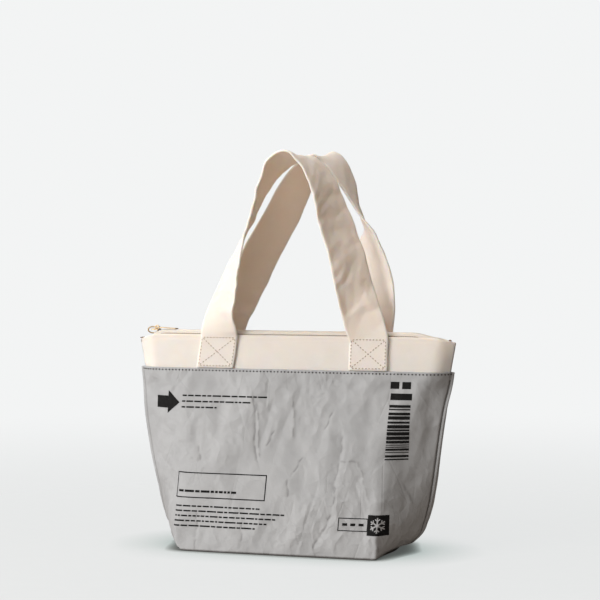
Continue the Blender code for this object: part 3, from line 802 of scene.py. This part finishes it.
def body():
    """The paper body as one fine shell, with its folds, crumple, side seams and turned hem."""
    shares = np.linspace(0, 1, COLUMNS + 1)
    steps = int(round((HEM_TOP - 2 * BASE_ROUND) / ROW_STEP))
    heights = [(0.0, 0.7), (0.2, 0.35), (0.6, 0.1), (BASE_ROUND, 0.0)]
    heights += [(z, 0.0) for z in np.linspace(BASE_ROUND, HEM_TOP - 0.45, steps)[1:]]
    grid, u, gap = (np.array(part) for part in zip(*(ring(z, inset, shares) for z, inset in heights)))
    x = grid[:, :, 0]
    z = grid[:, :, 2]
    normal = normals_of(grid)
    normal *= np.sign((normal[:, :, 1] * grid[:, :, 1]).sum())
    sway(grid, gap)
    move, crease = relief(x, z, u, gap)
    grid = grid + normal * move[:, :, None]

    # Paler ridges, partly rubbed and partly painted highlight, from how much a point stands above its
    # neighbours.
    flat = move - 0.25 * (np.roll(move, 2, 1) + np.roll(move, -2, 1))
    flat[2:-2] -= 0.25 * (move[4:] + move[:-4])
    flat[:2] = 0
    flat[-2:] = 0
    wear_and_highlight = np.clip(flat / WORN_AND_HIGHLIT_RIDGE, 0.0, 1.0) * smooth(gap, 3.0, 8.0) * smooth(z, 2.0, 8.0)
    # Painted shade along the side seam grooves, darker on the right side, which is the shaded side.
    shade = np.where(x > 0, RIGHT_SEAM_SHADE, LEFT_SEAM_SHADE)
    seam = shade * np.exp(-(((gap - SEAM_STRIP) / 0.75) ** 2)) * smooth(z, 2.0, 10.0)
    # The fold where the front turns under is painted dark, as painted shade under the base.
    seam = np.maximum(seam, UNDER_SHADE * (1 - smooth(z, 0.9, 2.0)))
    # Thin painted shade lines along the sharp creases.
    seam = np.maximum(seam, CREASE_SHADE * crease)

    # The top edge turns in, and the base closes under.
    def inner(z_at, inset):
        loop = ring(z_at, inset, shares)[0]
        loop[:, 2] = z_at
        return loop

    lip = [inner(HEM_TOP, 0.3), inner(HEM_TOP, HEM_LIP), inner(HEM_TOP - LIP_DEPTH, HEM_LIP)]
    under = [grid[0] * (0.9, 0.9, 0.0), grid[0] * (0.985, 0.985, 0.0)]
    whole = np.array([*under, *grid, *lip])
    rows, columns = whole.shape[:2]
    faces = grid_faces(rows, columns)
    faces.append(tuple(range(columns - 1, -1, -1)))
    pad = ((len(under), len(lip)), (0, 0))
    attributes = {"wear_and_highlight": np.pad(wear_and_highlight, pad), "seam": np.pad(seam, pad)}
    u = np.pad(u, pad, mode="edge")
    v = np.pad(z, pad)
    v[-len(lip) :] = HEM_TOP
    uv = list(grid_uv(u, v, v[:, 0])) + [(point[0] / 100.0, point[1] / 100.0) for point in whole[0][::-1]]
    piece("paper_body", whole.reshape(-1, 3), faces, PAPER, ("body_shell",), uv, attributes)
    return grid


BODY_GRID = body()


def lookup():
    """A table of the front's y over x and z, from the fine body."""
    xs = np.arange(-150.0, 150.01, LOOKUP_STEP)
    zs = np.arange(0.0, HEM_TOP + 0.01, LOOKUP_STEP)
    rows = BODY_GRID[:, : 2 * COLUMNS + 1]
    ys, heights = (np.array([np.interp(xs, row[:, 0], row[:, k]) for row in rows]) for k in (1, 2))
    return xs, zs, np.array([np.interp(zs, heights[:, k], ys[:, k]) for k in range(len(xs))]).T


FACE_X, FACE_Z, FACE_Y = lookup()


def front_y(x, z):
    """The y of the front's surface at x and z."""
    a = np.clip((x - FACE_X[0]) / LOOKUP_STEP, 0, len(FACE_X) - 1.001)
    b = np.clip((z - FACE_Z[0]) / LOOKUP_STEP, 0, len(FACE_Z) - 1.001)
    i, j = int(a), int(b)
    fa, fb = a - i, b - j
    low = FACE_Y[j, i] * (1 - fa) + FACE_Y[j, i + 1] * fa
    high = FACE_Y[j + 1, i] * (1 - fa) + FACE_Y[j + 1, i + 1] * fa
    return low * (1 - fb) + high * fb


# Print. The places and sizes of its marks are x and z on the front, in millimetres.


class Print:
    """Flat marks that lie on the front and follow its folds."""

    def __init__(self, lift=PRINT_LIFT):
        self.lift = lift
        self.points = []
        self.faces = []

    def stroke(self, x0, z0, x1, z1, start, end=None):
        """A straight mark from end to end, its width changing from start to end."""
        end = start if end is None else end
        length = math.hypot(x1 - x0, z1 - z0)
        ax, az = (x1 - x0) / length, (z1 - z0) / length
        rows = max(1, math.ceil(length / PRINT_STEP))
        columns = max(1, math.ceil(max(start, end) / PRINT_STEP))
        first = len(self.points)
        for r in range(rows + 1):
            t = r / rows
            width = start + (end - start) * t
            for c in range(columns + 1):
                s = (c / columns - 0.5) * width
                x = x0 + ax * length * t - az * s
                z = z0 + az * length * t + ax * s
                self.points.append((x, front_y(x, z) - self.lift, z))
        for r in range(rows):
            for c in range(columns):
                a = first + r * (columns + 1) + c
                b = a + columns + 1
                self.faces.append((a, a + 1, b + 1, b))

    def block(self, x0, z0, x1, z1):
        self.stroke(x0, (z0 + z1) / 2, x1, (z0 + z1) / 2, abs(z1 - z0))

    def frame(self, x0, z0, x1, z1, width):
        self.block(x0 - width / 2, z0 - width / 2, x1 + width / 2, z0 + width / 2)
        self.block(x0 - width / 2, z1 - width / 2, x1 + width / 2, z1 + width / 2)
        self.block(x0 - width / 2, z0 + width / 2, x0 + width / 2, z1 - width / 2)
        self.block(x1 - width / 2, z0 + width / 2, x1 + width / 2, z1 - width / 2)

    def dashes(self, x0, x1, z, height, seed):
        """A line of plain dashes of many lengths, a generic stand-in for a line of print."""
        x = x0
        k = 0
        while x < x1 - 2.0:
            wide = 2.2 + 8.5 * float(hashed(k, seed, 4)) ** 1.3
            end = min(x + wide, x1)
            self.block(x, z - height / 2, end, z + height / 2)
            x = end + 1.1
            k += 1

    def make(self, name, look=INK):
        """Turns the marks into one piece."""
        piece(name, self.points, self.faces, look, solid=False)


def arrow():
    """A plain arrow that points to the right."""
    p = Print()
    p.block(-129.8, 125.4, -117.0, 136.6)
    p.stroke(-117.0, 131.1, -104.4, 130.9, 21.0, 0.25)
    p.make("print_arrow")


def small_lines():
    """Lines of plain dashes above and below, and an open frame with one line in it."""
    p = Print()
    for k, (end, seed) in enumerate(((-19.5, 1), (-35.0, 2), (-67.5, 3))):
        p.dashes(-101.8, end, 137.4 - 5.2 * k, 1.35, seed)
    p.make("print_upper_lines")
    p = Print()
    p.frame(-100.2, 46.8, -13.4, 68.6, 0.95)
    p.dashes(-97.6, -41.0, 52.4, 2.0, 9)
    p.make("print_frame")
    p = Print()
    for k, end in enumerate((-17.0, 6.5, 1.0, -9.5, -20.0)):
        p.dashes(-99.0, end, 39.2 - 4.3 * k, 1.3, 20 + k)
    p.make("print_lower_lines")


def bars():
    """A solid block, two smaller ones above it, and a column of made-up bars."""
    p = Print()
    p.block(95.2, 147.6, 103.2, 153.8)
    p.block(106.0, 147.6, 114.0, 153.8)
    p.block(96.0, 137.8, 115.4, 143.6)
    z = 133.6
    k = 0
    while z > 86.2:
        thick = (0.8, 1.9, 0.7, 3.0, 1.2, 2.4, 0.8, 1.6)[int(8 * float(hashed(k, 3, 41))) % 8]
        gap = (1.0, 1.6, 0.8, 1.2, 2.0)[int(5 * float(hashed(k, 4, 42))) % 5]
        tip = 0.022 * (z - 133.6)
        p.block(95.6 + tip, z - thick, 114.6 + tip, z)
        z -= thick + gap
        k += 1
    p.make("print_bars")


def flake():
    """A plain snow crystal in a solid square with an open frame beside it, a generic sign for cold."""
    p = Print()
    p.frame(57.0, 24.0, 83.4, 34.6, 0.75)
    for k in range(3):
        p.block(60.5 + 7.4 * k, 28.2, 65.0 + 7.4 * k, 30.4)
    cx, cz, size = 92.2, 29.3, 17.6
    p.block(cx - size / 2, cz - size / 2, cx + size / 2, cz + size / 2)
    p.make("print_sign")
    p = Print(PRINT_LIFT + 0.07)
    for k in range(6):
        turn = math.radians(30 + 60 * k)
        ux, uz = math.cos(turn), math.sin(turn)
        p.stroke(cx, cz, cx + 6.6 * ux, cz + 6.6 * uz, 1.15)
        for side in (-1, 1):
            branch = turn + side * math.radians(52)
            bx, bz = cx + 3.7 * ux, cz + 3.7 * uz
            p.stroke(bx, bz, bx + 2.6 * math.cos(branch), bz + 2.6 * math.sin(branch), 0.95)
    p.make("print_crystal", PAPER)


arrow()
small_lines()
bars()
flake()


# Bands and zip


def band_curve(z, inset, side, shares):
    """A quarter of a band at a height, from the middle to its end just short of the side seam."""
    if z <= HEM_TOP:
        _, half, depth, crease, _ = section_at(z)
    else:
        t = (z - HEM_TOP) / BAND_HEIGHT
        half = HEM_WIDTH / 2 + BAND_SPREAD * t
        depth = HEM_DEPTH / 2 + (BAND_TOP_DEPTH - HEM_DEPTH) / 2 * t
        crease = HEM_CREASE / 2 + BAND_SPREAD * t
    path, length = quarter(half - BAND_END, depth, crease, -SEAM_GAP / 2, -1, inset, shares)
    return path * (1, -side), length


def band(name, node, side):
    """A folded cloth band: its outer face, a soft turned top edge, and its inner face."""
    shares = np.linspace(0, 1, 121)
    profile = [(HEM_TOP - BAND_TUCK + k * 1.15, 0.0) for k in range(31)]
    profile = [(z, i) for z, i in profile if z < BAND_TOP - 1.2]
    profile += [(BAND_TOP - 0.9, 0.0), (BAND_TOP - 0.35, 0.22), (BAND_TOP, 0.75), (BAND_TOP - 0.3, 1.4)]
    profile += [(BAND_TOP - 1.2, BAND_WALL), (BAND_TOP - 10.0, BAND_WALL), (HEM_TOP - BAND_TUCK, BAND_WALL)]
    rings = []
    us = []
    for z, inset in profile:
        path, length = band_curve(z, BAND_INSET + inset, side, shares)
        line = np.vstack([path[:0:-1] * (-1, 1), path])
        rings.append(np.column_stack([line, np.full(len(line), z)]))
        us.append(np.r_[-shares[:0:-1], shares] * length)
    grid = np.array(rings)
    u = np.array(us)
    z = grid[:, :, 2].copy()
    low = CORNER_DIP * smooth(np.abs(grid[:, :, 0]), HEM_WIDTH / 2 - 20.0, HEM_WIDTH / 2 + BAND_SPREAD)
    grid[:, :, 2] -= low * smooth(z, HEM_TOP, BAND_TOP)
    outer = (np.array([p[1] for p in profile]) < 0.8)[:, None]
    puckers = 0.30 * noise(u + 900 * side, z, 17.0, 51) + 0.14 * noise(u + 900 * side, z, 6.5, 52)
    puckers *= smooth(z, HEM_TOP + 0.5, HEM_TOP + 8.0)
    gap = u[:, -1:] - np.abs(u)
    puckers *= smooth(gap, 0.5, 8.0)
    # A sewn line just under the top edge draws the cloth in.
    sewn_in = 0.28 * np.exp(-(((BAND_TOP - z - 3.2) / 1.0) ** 2))
    move = np.where(outer, puckers - sewn_in, puckers)
    grid[:, :, 1] += side * move
    # Columns of the grid run round the profile, rows along the band.
    grid = grid.transpose(1, 0, 2)
    travel = np.r_[0, np.cumsum(np.abs(np.diff(profile, axis=0)).sum(axis=1))]
    across = np.broadcast_to(travel, grid.shape[:2])
    length = np.broadcast_to(u[3][:, None], grid.shape[:2])
    girth = np.full(grid.shape[0], travel[-1] + BAND_WALL)
    tube(name, grid, CANVAS, (length, across), girth, (node,))


band("cloth_band_front", "front_band", -1)
band("cloth_band_back", "back_band", 1)


def zip_xs(step):
    """Even places along the zip."""
    return np.linspace(-ZIP_HALF, ZIP_HALF, int(2 * ZIP_HALF / step) + 1)


def zip_drop(x):
    """How far the zip sinks towards its two ends."""
    left = ZIP_DIP * smooth(-x, ZIP_HALF - 12.0, ZIP_HALF + 5.0)
    right = (ZIP_DIP + 1.6) * smooth(x, ZIP_HALF - 26.0, ZIP_HALF + 3.0)
    return -left - right


def tape_foot(xs):
    """The y of each tape's foot, just inside the band's top edge."""
    path, _ = band_curve(BAND_TOP, BAND_INSET + BAND_WALL, 1, np.linspace(0, 1, 121))
    return np.interp(np.abs(xs), path[:, 0], path[:, 1]) - CLEAR - TAPE_WALL


def tape(name, node, side):
    """A zip tape: a thin woven strip that leans in from the band's top edge to the teeth."""
    xs = zip_xs(2.0)
    top_y = TEETH_WIDTH / 2 + CLEAR + 0.1
    foot_y = np.maximum(tape_foot(xs), top_y)
    # Columns: how near to the foot, how far out from there, height above the band, and 1 if it sinks.
    profile = [
        (1.0, 0.0, -9.0, 0),
        (1.0, 0.0, -2.5, 1),
        (0.8, 0.0, 0.1 * ZIP_RISE, 1),
        (0.5, 0.0, 0.5 * ZIP_RISE, 1),
        (0.2, 0.0, 0.82 * ZIP_RISE, 1),
        (0.0, 0.0, ZIP_RISE - 0.1, 1),
        (0.0, 0.4, ZIP_RISE + 0.15, 1),
        (0.0, TAPE_FOLD, ZIP_RISE - 0.25, 1),
        (0.2, TAPE_FOLD, 0.82 * ZIP_RISE + 0.5, 1),
        (0.5, TAPE_FOLD, 0.5 * ZIP_RISE + 0.5, 1),
        (0.8, TAPE_FOLD, 0.1 * ZIP_RISE + 0.3, 1),
        (1.0, TAPE_FOLD, -2.5, 1),
        (1.0, TAPE_FOLD, -9.0, 0),
    ]
    ripple = BAND_TOP + 0.16 * noise(xs, 0 * xs + 40.0 * side, 9.0, 61)
    fall = zip_drop(xs)
    lines = []
    for near, out, rise, sinks in profile:
        y = near * foot_y + (1 - near) * top_y + out
        lines.append(np.column_stack([xs, side * y, rise + sinks * fall + ripple]))
    grid = np.array(lines).transpose(1, 0, 2)
    travel = travelled(grid[len(xs) // 2])
    across = np.broadcast_to(travel, grid.shape[:2])
    length = np.broadcast_to(xs[:, None], grid.shape[:2])
    girth = np.full(len(xs), travel[-1] + TAPE_FOLD)
    tube(name, grid, TAPE, (length, across), girth, (node,))


tape("woven_tape_front", "zip_tape_front", -1)
tape("woven_tape_back", "zip_tape_back", 1)


def capsules(name, runs, size, look, node=()):
    """Short rounded bars of one size, in runs of places, directions and normals."""
    centres, along, normal = (np.vstack(part) for part in zip(*runs))
    length, width, height = size
    sides = 8
    stations = [(-1.0, 0.35), (-0.72, 0.85), (0.0, 1.0), (0.72, 0.85), (1.0, 0.35)]
    across = unit(np.cross(normal, along))
    points = []
    for at, share in stations:
        for a in np.linspace(0, 2 * np.pi, sides, endpoint=False):
            ring_at = across * math.cos(a) * width + normal * math.sin(a) * height
            points.append(centres + along * at * length / 2 + ring_at * share / 2)
    per = len(points)
    points = np.array(points).transpose(1, 0, 2).reshape(-1, 3)
    base = grid_faces(len(stations), sides)
    base.append(tuple(range(sides - 1, -1, -1)))
    base.append(tuple(range(per - sides, per)))
    faces = [tuple(i + k * per for i in face) for k in range(len(centres)) for face in base]
    piece(name, points, faces, look, node)


def upright(place, along=(0.0, 1.0, 0.0), normal=(0.0, 0.0, 1.0)):
    """A run of capsules that all lie the same way."""
    return place, np.tile(along, (len(place), 1)), np.tile(normal, (len(place), 1))


def on_line(line, pitch, start=0.0):
    """Even places along a polyline, with the direction at each."""
    line = np.asarray(line, float)
    step = travelled(line)
    count = max(1, int((step[-1] - 2 * start) / pitch))
    at = start + (np.arange(count) + 0.5) * (step[-1] - 2 * start) / count
    behind, place, ahead = (
        np.column_stack([np.interp(at + shift, step, line[:, k]) for k in range(3)])
        for shift in (-0.3, 0.0, 0.3)
    )
    return place, unit(ahead - behind)


def hem_stitches():
    """A dark lockstitch round the bag just below the body's top edge."""
    row = int(np.argmin(np.abs(BODY_GRID[:, COLUMNS, 2] - (HEM_TOP - STITCH_DROP))))
    loop = BODY_GRID[row]
    runs = []
    for line in (loop[: 2 * COLUMNS + 1], np.vstack([loop[2 * COLUMNS :], loop[:1]])):
        place, along = on_line(line, HEM_PITCH, 1.5)
        normal = np.cross(along, (0, 0, 1.0))
        normal *= np.sign(normal[:, 1] * place[:, 1])[:, None]
        runs.append((place + normal * 0.2, along, normal))
    capsules("hem_stitches", runs, HEM_STITCH, DARK_THREAD)


hem_stitches()


def coil():
    """The closed coil of the zip: short rounded teeth that meet in turn from each side."""
    count = int(2 * (ZIP_HALF - 1.0) / TOOTH_PITCH)
    x = -ZIP_HALF + 1.0 + (np.arange(count) + 0.5) * TOOTH_PITCH
    side = np.where(np.arange(count) % 2 == 0, 1.0, -1.0)
    centres = np.column_stack([x, 0.12 * side, ZIP_TOP - 1.75 + zip_drop(x)])
    capsules("zip_coil", [upright(centres)], TOOTH, TEETH, ("zip_teeth",))
    xs = zip_xs(4.0)
    core = []
    for a in np.linspace(0, 2 * np.pi, 8, endpoint=False):
        z = ZIP_TOP - 3.2 + zip_drop(xs) + 1.3 * math.sin(a)
        core.append(np.column_stack([xs, 0.85 * math.cos(a) + 0 * xs, z]))
    grid = np.array(core).transpose(1, 0, 2)
    flat = np.broadcast_to(xs[:, None], grid.shape[:2])
    around = np.broadcast_to(np.arange(8.0)[None, :], grid.shape[:2])
    tube("zip_core", grid, TAPE, (flat, around), np.full(len(xs), 8.0))


coil()


def tape_stitches():
    """The fine brown seam that holds each zip tape just above the edge of its band."""
    xs = zip_xs(2.0)[2:-2]
    runs = []
    for side in (-1, 1):
        line = np.column_stack([xs, side * (0.82 * tape_foot(xs) + 1.25), BAND_TOP + 0.55 + zip_drop(xs)])
        place, along = on_line(line, TAPE_PITCH, 1.0)
        runs.append((place, along, np.tile((0.0, 0.5 * side, 0.86), (len(place), 1))))
    capsules("tape_stitches", runs, TAPE_STITCH, BROWN_THREAD)


tape_stitches()


def corner_tacks():
    """Short dark bar tacks that close the band at each end of the zip."""
    places = []
    for side, x, z in TACK_ROWS:
        for k in range(4):
            places.append((x - side * 0.9 * (k - 1.5), -2.6 + 1.7 * k, z - 0.25 * abs(k - 1.5)))
    capsules("corner_tacks", [upright(places)], TACK, BROWN_THREAD)


corner_tacks()


# Handles


def along_curve(table, count):
    """Even points along a Catmull-Rom curve through stations of x, y, z and turn."""
    table = np.array(table, float)
    padded = np.vstack([2 * table[0] - table[1], table, 2 * table[-1] - table[-2]])
    dense = []
    for i in range(1, len(padded) - 2):
        p0, p1, p2, p3 = padded[i - 1 : i + 3]
        for t in np.linspace(0, 1, 24, endpoint=False):
            square = (2 * p0 - 5 * p1 + 4 * p2 - p3) * t * t
            cube = (3 * p1 - p0 - 3 * p2 + p3) * t**3
            dense.append(0.5 * (2 * p1 + (p2 - p0) * t + square + cube))
    dense.append(padded[-2])
    dense = np.array(dense)
    step = travelled(dense[:, :3])
    at = np.linspace(0, step[-1], count)
    return np.column_stack([np.interp(at, step, dense[:, k]) for k in range(4)]), at


def slant(x, z):
    """How far the left feet of the handles lean to the left at a height."""
    return FOOT_SLANT * np.clip((BAND_TOP + 5.0 - z) / (BAND_HEIGHT + 5.0), 0.0, 1.0) ** 1.3 * (x < 0)


def sewn_y(x, z):
    """How far out the middle of a strap lies where it is sewn to its band."""
    path, _ = band_curve(z, BAND_INSET, 1, np.linspace(0, 1, 41))
    across = np.interp([abs(x) - STRAP_WIDTH / 2, abs(x), abs(x) + STRAP_WIDTH / 2], path[:, 0], path[:, 1])
    return across.max() + STRAP_CLEAR + STRAP_THICK / 2


def handle(name, node, stations, side, lean, seed):
    """A flat strap of folded cloth: thicker along its two turned edges, with soft wrinkles."""
    half = HANDLE_SPACING / 2
    free = [
        (HANDLE_SHIFT + x * half, side * out * lean, BAND_TOP + rise * HANDLE_RISE, turn)
        for x, out, rise, turn in stations
    ]
    heights = [HEM_TOP + STRAP_TUCK_CLEAR] + [HEM_TOP + share * BAND_HEIGHT for share in (0.31, 0.64, 0.93)]
    turned = -180.0 if side < 0 else 180.0
    left, right = HANDLE_SHIFT - half, HANDLE_SHIFT + half
    table = [(left, side * sewn_y(left, z), z, 0.0) for z in heights]
    table += free
    table += [(right, side * sewn_y(right, z), z, turned) for z in heights[::-1]]
    path, travel = along_curve(table, 300)
    middle = path[:, :3]
    tangent = unit(np.gradient(middle, axis=0))
    turn = np.radians(path[:, 3])
    width = np.column_stack([np.cos(turn), np.sin(turn), np.zeros(len(turn))])
    width = unit(width - (width * tangent).sum(axis=1)[:, None] * tangent)
    normal = np.cross(tangent, width)
    roll = np.radians(ARCH_ROLL) * smooth((middle[:, 2] - BAND_TOP) / HANDLE_RISE, 0.65, 0.95)
    roll *= np.where(width[:, 1] * side > 0, 1.0, -1.0) * np.where(normal[:, 2] > 0, 1.0, -1.0)
    width = width * np.cos(roll)[:, None] + normal * np.sin(roll)[:, None]
    normal = np.cross(tangent, width)
    # One ring of the strap's section: its top face, a round edge, its under face and the other edge.
    flat = np.linspace(-0.965, 0.965, 21)
    thick = 0.5 * STRAP_THICK * (0.82 + 0.18 * smooth(np.abs(flat), 0.62, 0.86))
    s = np.r_[flat, 0.99, 1.0, 0.99, flat[::-1], -0.99, -1.0, -0.99]
    t = np.r_[thick, 0.62, 0.0, -0.62, -thick[::-1], -0.62, 0.0, 0.62]
    free_part = smooth(middle[:, 2], BAND_TOP + 2.0, BAND_TOP + 24.0)[:, None]
    along = travel[:, None] + 0 * s[None, :]
    across = s[None, :] * STRAP_WIDTH / 2 + 0 * travel[:, None]
    wrinkle = 0.45 * noise(along + 0.6 * across, across, 15.0, seed)
    wrinkle += 0.12 * noise(along - 0.5 * across, across, 6.0, seed + 1)
    crushed = 1.0 if side < 0 else 0.45
    wrinkle += 1.4 * crushed * facets(along + 0.5 * across, 1.1 * across, 24.0, seed % 7)
    wrinkle += 0.7 * crushed * facets(along - 0.4 * across, across, 10.0, seed % 5 + 2)
    wrinkle += 0.25 * crushed * facets(along, across, 5.0, seed % 3 + 4)
    wrinkle = wrinkle * free_part + 0.10 * noise(along, across, 8.0, seed + 2) * (1 - free_part)
    edge = 0.35 * noise(along, 0 * along + np.sign(across) * 50.0, 13.0, seed + 3) * np.abs(s)[None, :] ** 6
    grid = middle[:, None, :] + width[:, None, :] * (across + edge * np.sign(across))[:, :, None]
    grid = grid + normal[:, None, :] * (t[None, :] + wrinkle)[:, :, None]
    grid[:, :, 0] -= slant(grid[:, :, 0], grid[:, :, 2])
    loop = np.r_[0, np.cumsum(np.hypot(np.diff(s) * STRAP_WIDTH / 2, np.diff(t)))]
    v = np.broadcast_to(loop[None, :], along.shape)
    girth = np.full(len(travel), loop[-1] + 0.7)
    # A painted highlight along both turned edges of the strap.
    edge_highlight = np.broadcast_to((1 - smooth(1 - np.abs(s), 0.02, 0.06))[None, :], along.shape)
    tube(name, grid, CANVAS, (along, v), girth, (node,), attributes={"edge": edge_highlight})


handle("cloth_handle_front", "handle_front", FRONT_STATIONS, -1, FRONT_LEAN, 71)
handle("cloth_handle_back", "handle_back", BACK_STATIONS, 1, BACK_LEAN, 81)


def box_stitches(side, name):
    """The sewn box and cross on both feet of a handle."""
    runs = []
    low, high = HEM_TOP + 2.4, BAND_TOP - 2.6
    half = STRAP_WIDTH / 2 - BOX_INSET
    corners = [(-half, high), (half, high), (half, low), (-half, low), (-half, high)]
    lines = list(zip(corners, corners[1:]))
    lines += [((-half, high), (half, low)), ((-half, low), (half, high))]
    for foot in (-1, 1):
        middle = HANDLE_SHIFT + foot * HANDLE_SPACING / 2
        for (x0, z0), (x1, z1) in lines:
            t = np.linspace(0, 1, 30)
            z = z0 + (z1 - z0) * t
            x = middle + x0 + (x1 - x0) * t
            x = x - slant(x, z)
            y = side * np.array([sewn_y(middle, h) + 0.45 * STRAP_THICK for h in z])
            place, along = on_line(np.column_stack([x, y, z]), BOX_PITCH, 0.6)
            normal = np.tile((0.0, float(side), 0.0), (len(place), 1))
            normal = unit(normal - (normal * along).sum(axis=1)[:, None] * along)
            runs.append((place + normal * 0.05, along, normal))
    capsules(name, runs, BOX_STITCH, CREAM_THREAD)


box_stitches(-1, "box_stitches_front")
box_stitches(1, "box_stitches_back")


def slider_loop():
    """The oval wire loop of the slider, which stands over the end of the zip."""
    columns, rows = 40, 10
    turn = np.linspace(0, 2 * np.pi, columns, endpoint=False)
    (x, z), (wide, high), (thin, thick) = LOOP_MIDDLE, LOOP_HALF, LOOP_WIRE
    centre = np.column_stack([x + wide * np.cos(turn), 0 * turn, z + high * np.sin(turn)])
    outward = unit(np.column_stack([high * np.cos(turn), 0 * turn, wide * np.sin(turn)]))
    rings = []
    for a in np.linspace(0, 2 * np.pi, rows, endpoint=False):
        rings.append(centre + outward * thin * math.cos(a) + np.array([0.0, thick * math.sin(a), 0.0]))
    points = np.array(rings).reshape(-1, 3)
    faces = [tuple(int(i) % len(points) for i in face) for face in grid_faces(rows + 1, columns)]
    piece("slider_loop", points, faces, BRASS)


slider_loop()

# Slider and pull tab keep their CAD shape, with softened edges.
for node in ("zip_slider", "pull_tab"):
    thing = frame["nodes"][node]
    thing.data.materials.clear()
    thing.data.materials.append(BRASS)
    bevel = thing.modifiers.new("soft_edges", "BEVEL")
    bevel.width = 0.25 * MM
    bevel.segments = 2
    bevel.limit_method = "ANGLE"


# Floor, light and camera


def floor():
    """A pale floor that fades into the plain backdrop, with a soft painted contact shadow under the bag."""
    mesh = bpy.data.meshes.new("floor")
    corners = [(x * FLOOR_HALF, y * FLOOR_HALF, 0) for x, y in ((-1, -1), (1, -1), (1, 1), (-1, 1))]
    mesh.from_pydata(corners, [], [(0, 1, 2, 3)])
    thing = placed("floor", mesh)
    thing.location = (0, 0, -0.0002)
    n = Look("floor", 0.8, specular=0.1)
    place = n.place()
    n.colour(n.ramp(n.noise(place, 60.0, 3.0), [(0.3, FLOOR_DARK), (0.7, FLOOR_LIGHT)]))

    def open_air(distance, power):
        """1 on the open floor, less where the bag is near, where the painted shadow goes."""
        near = n.add("ShaderNodeAmbientOcclusion", {"Distance": distance}, samples=8)
        return n.value("POWER", near.outputs["AO"], power)

    # Most of the floor's brightness to the eye is painted light of its own, as under a brightly lit sweep,
    # with painted shadow near the bag.
    shaded = n.mix(open_air(0.06, 1.3), FLOOR_SHADE, FLOOR_GLOW)
    glow = n.add("ShaderNodeEmission", {"Color": n.mix(open_air(0.012, 2.6), CONTACT_SHADE, shaded)})
    own = n.value("MULTIPLY", n.add("ShaderNodeLightPath").outputs["Is Camera Ray"], FLOOR_OWN)
    part = n.add("ShaderNodeMixShader", {0: own, 1: n.shader.outputs[0], 2: glow.outputs[0]})
    away = n.add("ShaderNodeVectorMath", {0: place}, operation="LENGTH").outputs["Value"]
    fade = n.ranged(away, start=0.1, end=1.5, interpolation_type="SMOOTHSTEP")
    clear = n.add("ShaderNodeBsdfTransparent")
    blend = n.add("ShaderNodeMixShader", {0: fade, 1: part.outputs[0], 2: clear.outputs[0]})
    n.feed(n.tree.nodes["Material Output"].inputs["Surface"], blend.outputs[0])
    mesh.materials.append(n.material)


def world():
    """A plain backdrop to the eye. As light it is bright from the left and dim from the right."""
    made = bpy.data.worlds.new("studio")
    bpy.context.scene.world = made
    made.use_nodes = True
    n = Tree(made.node_tree)
    n.tree.nodes.clear()
    direction = n.add("ShaderNodeTexCoord").outputs["Generated"]
    split = n.add("ShaderNodeSeparateXYZ", {0: direction})
    across = n.value("MULTIPLY_ADD", split.outputs["X"], 0.5, 0.5)
    stops = []
    for at, level in WORLD_STOPS:
        warm = WORLD_WARMTH * (1 - level)
        stops.append((at, (level, level * (1 - 0.5 * warm), level * (1 - warm))))
    light = n.add("ShaderNodeBackground", {"Color": n.ramp(across, stops), "Strength": WORLD_LIGHT})
    seen = n.add("ShaderNodeBackground", {"Color": BACKDROP})
    eye = n.add("ShaderNodeLightPath").outputs["Is Camera Ray"]
    mix = n.add("ShaderNodeMixShader", {0: eye, 1: light.outputs[0], 2: seen.outputs[0]})
    n.add("ShaderNodeOutputWorld", {0: mix.outputs[0]})


floor()
world()


def area(name, place, target, size, power, colour):
    """A round soft light that faces its target."""
    light = bpy.data.lights.new(name, "AREA")
    light.shape = "DISK"
    light.size = size
    light.energy = power
    light.color = colour
    thing = placed(name, light)
    thing.location = place
    thing.rotation_euler = (Vector(target) - Vector(place)).to_track_quat("-Z", "Y").to_euler()


for light in LIGHTS:
    area(*light)

camera = bpy.data.cameras.new("camera")
camera.sensor_width = SENSOR_WIDTH
camera.lens = SENSOR_WIDTH * FOCAL_PIXELS / IMAGE_PIXELS
camera_object = placed("camera", camera)
camera_object.location = CAMERA_PLACE
camera_object.rotation_euler = (math.radians(90 - CAMERA_TILT), 0.0, math.radians(CAMERA_AZIMUTH))
bpy.context.scene.camera = camera_object
bpy.context.scene.view_settings.view_transform = "Standard"
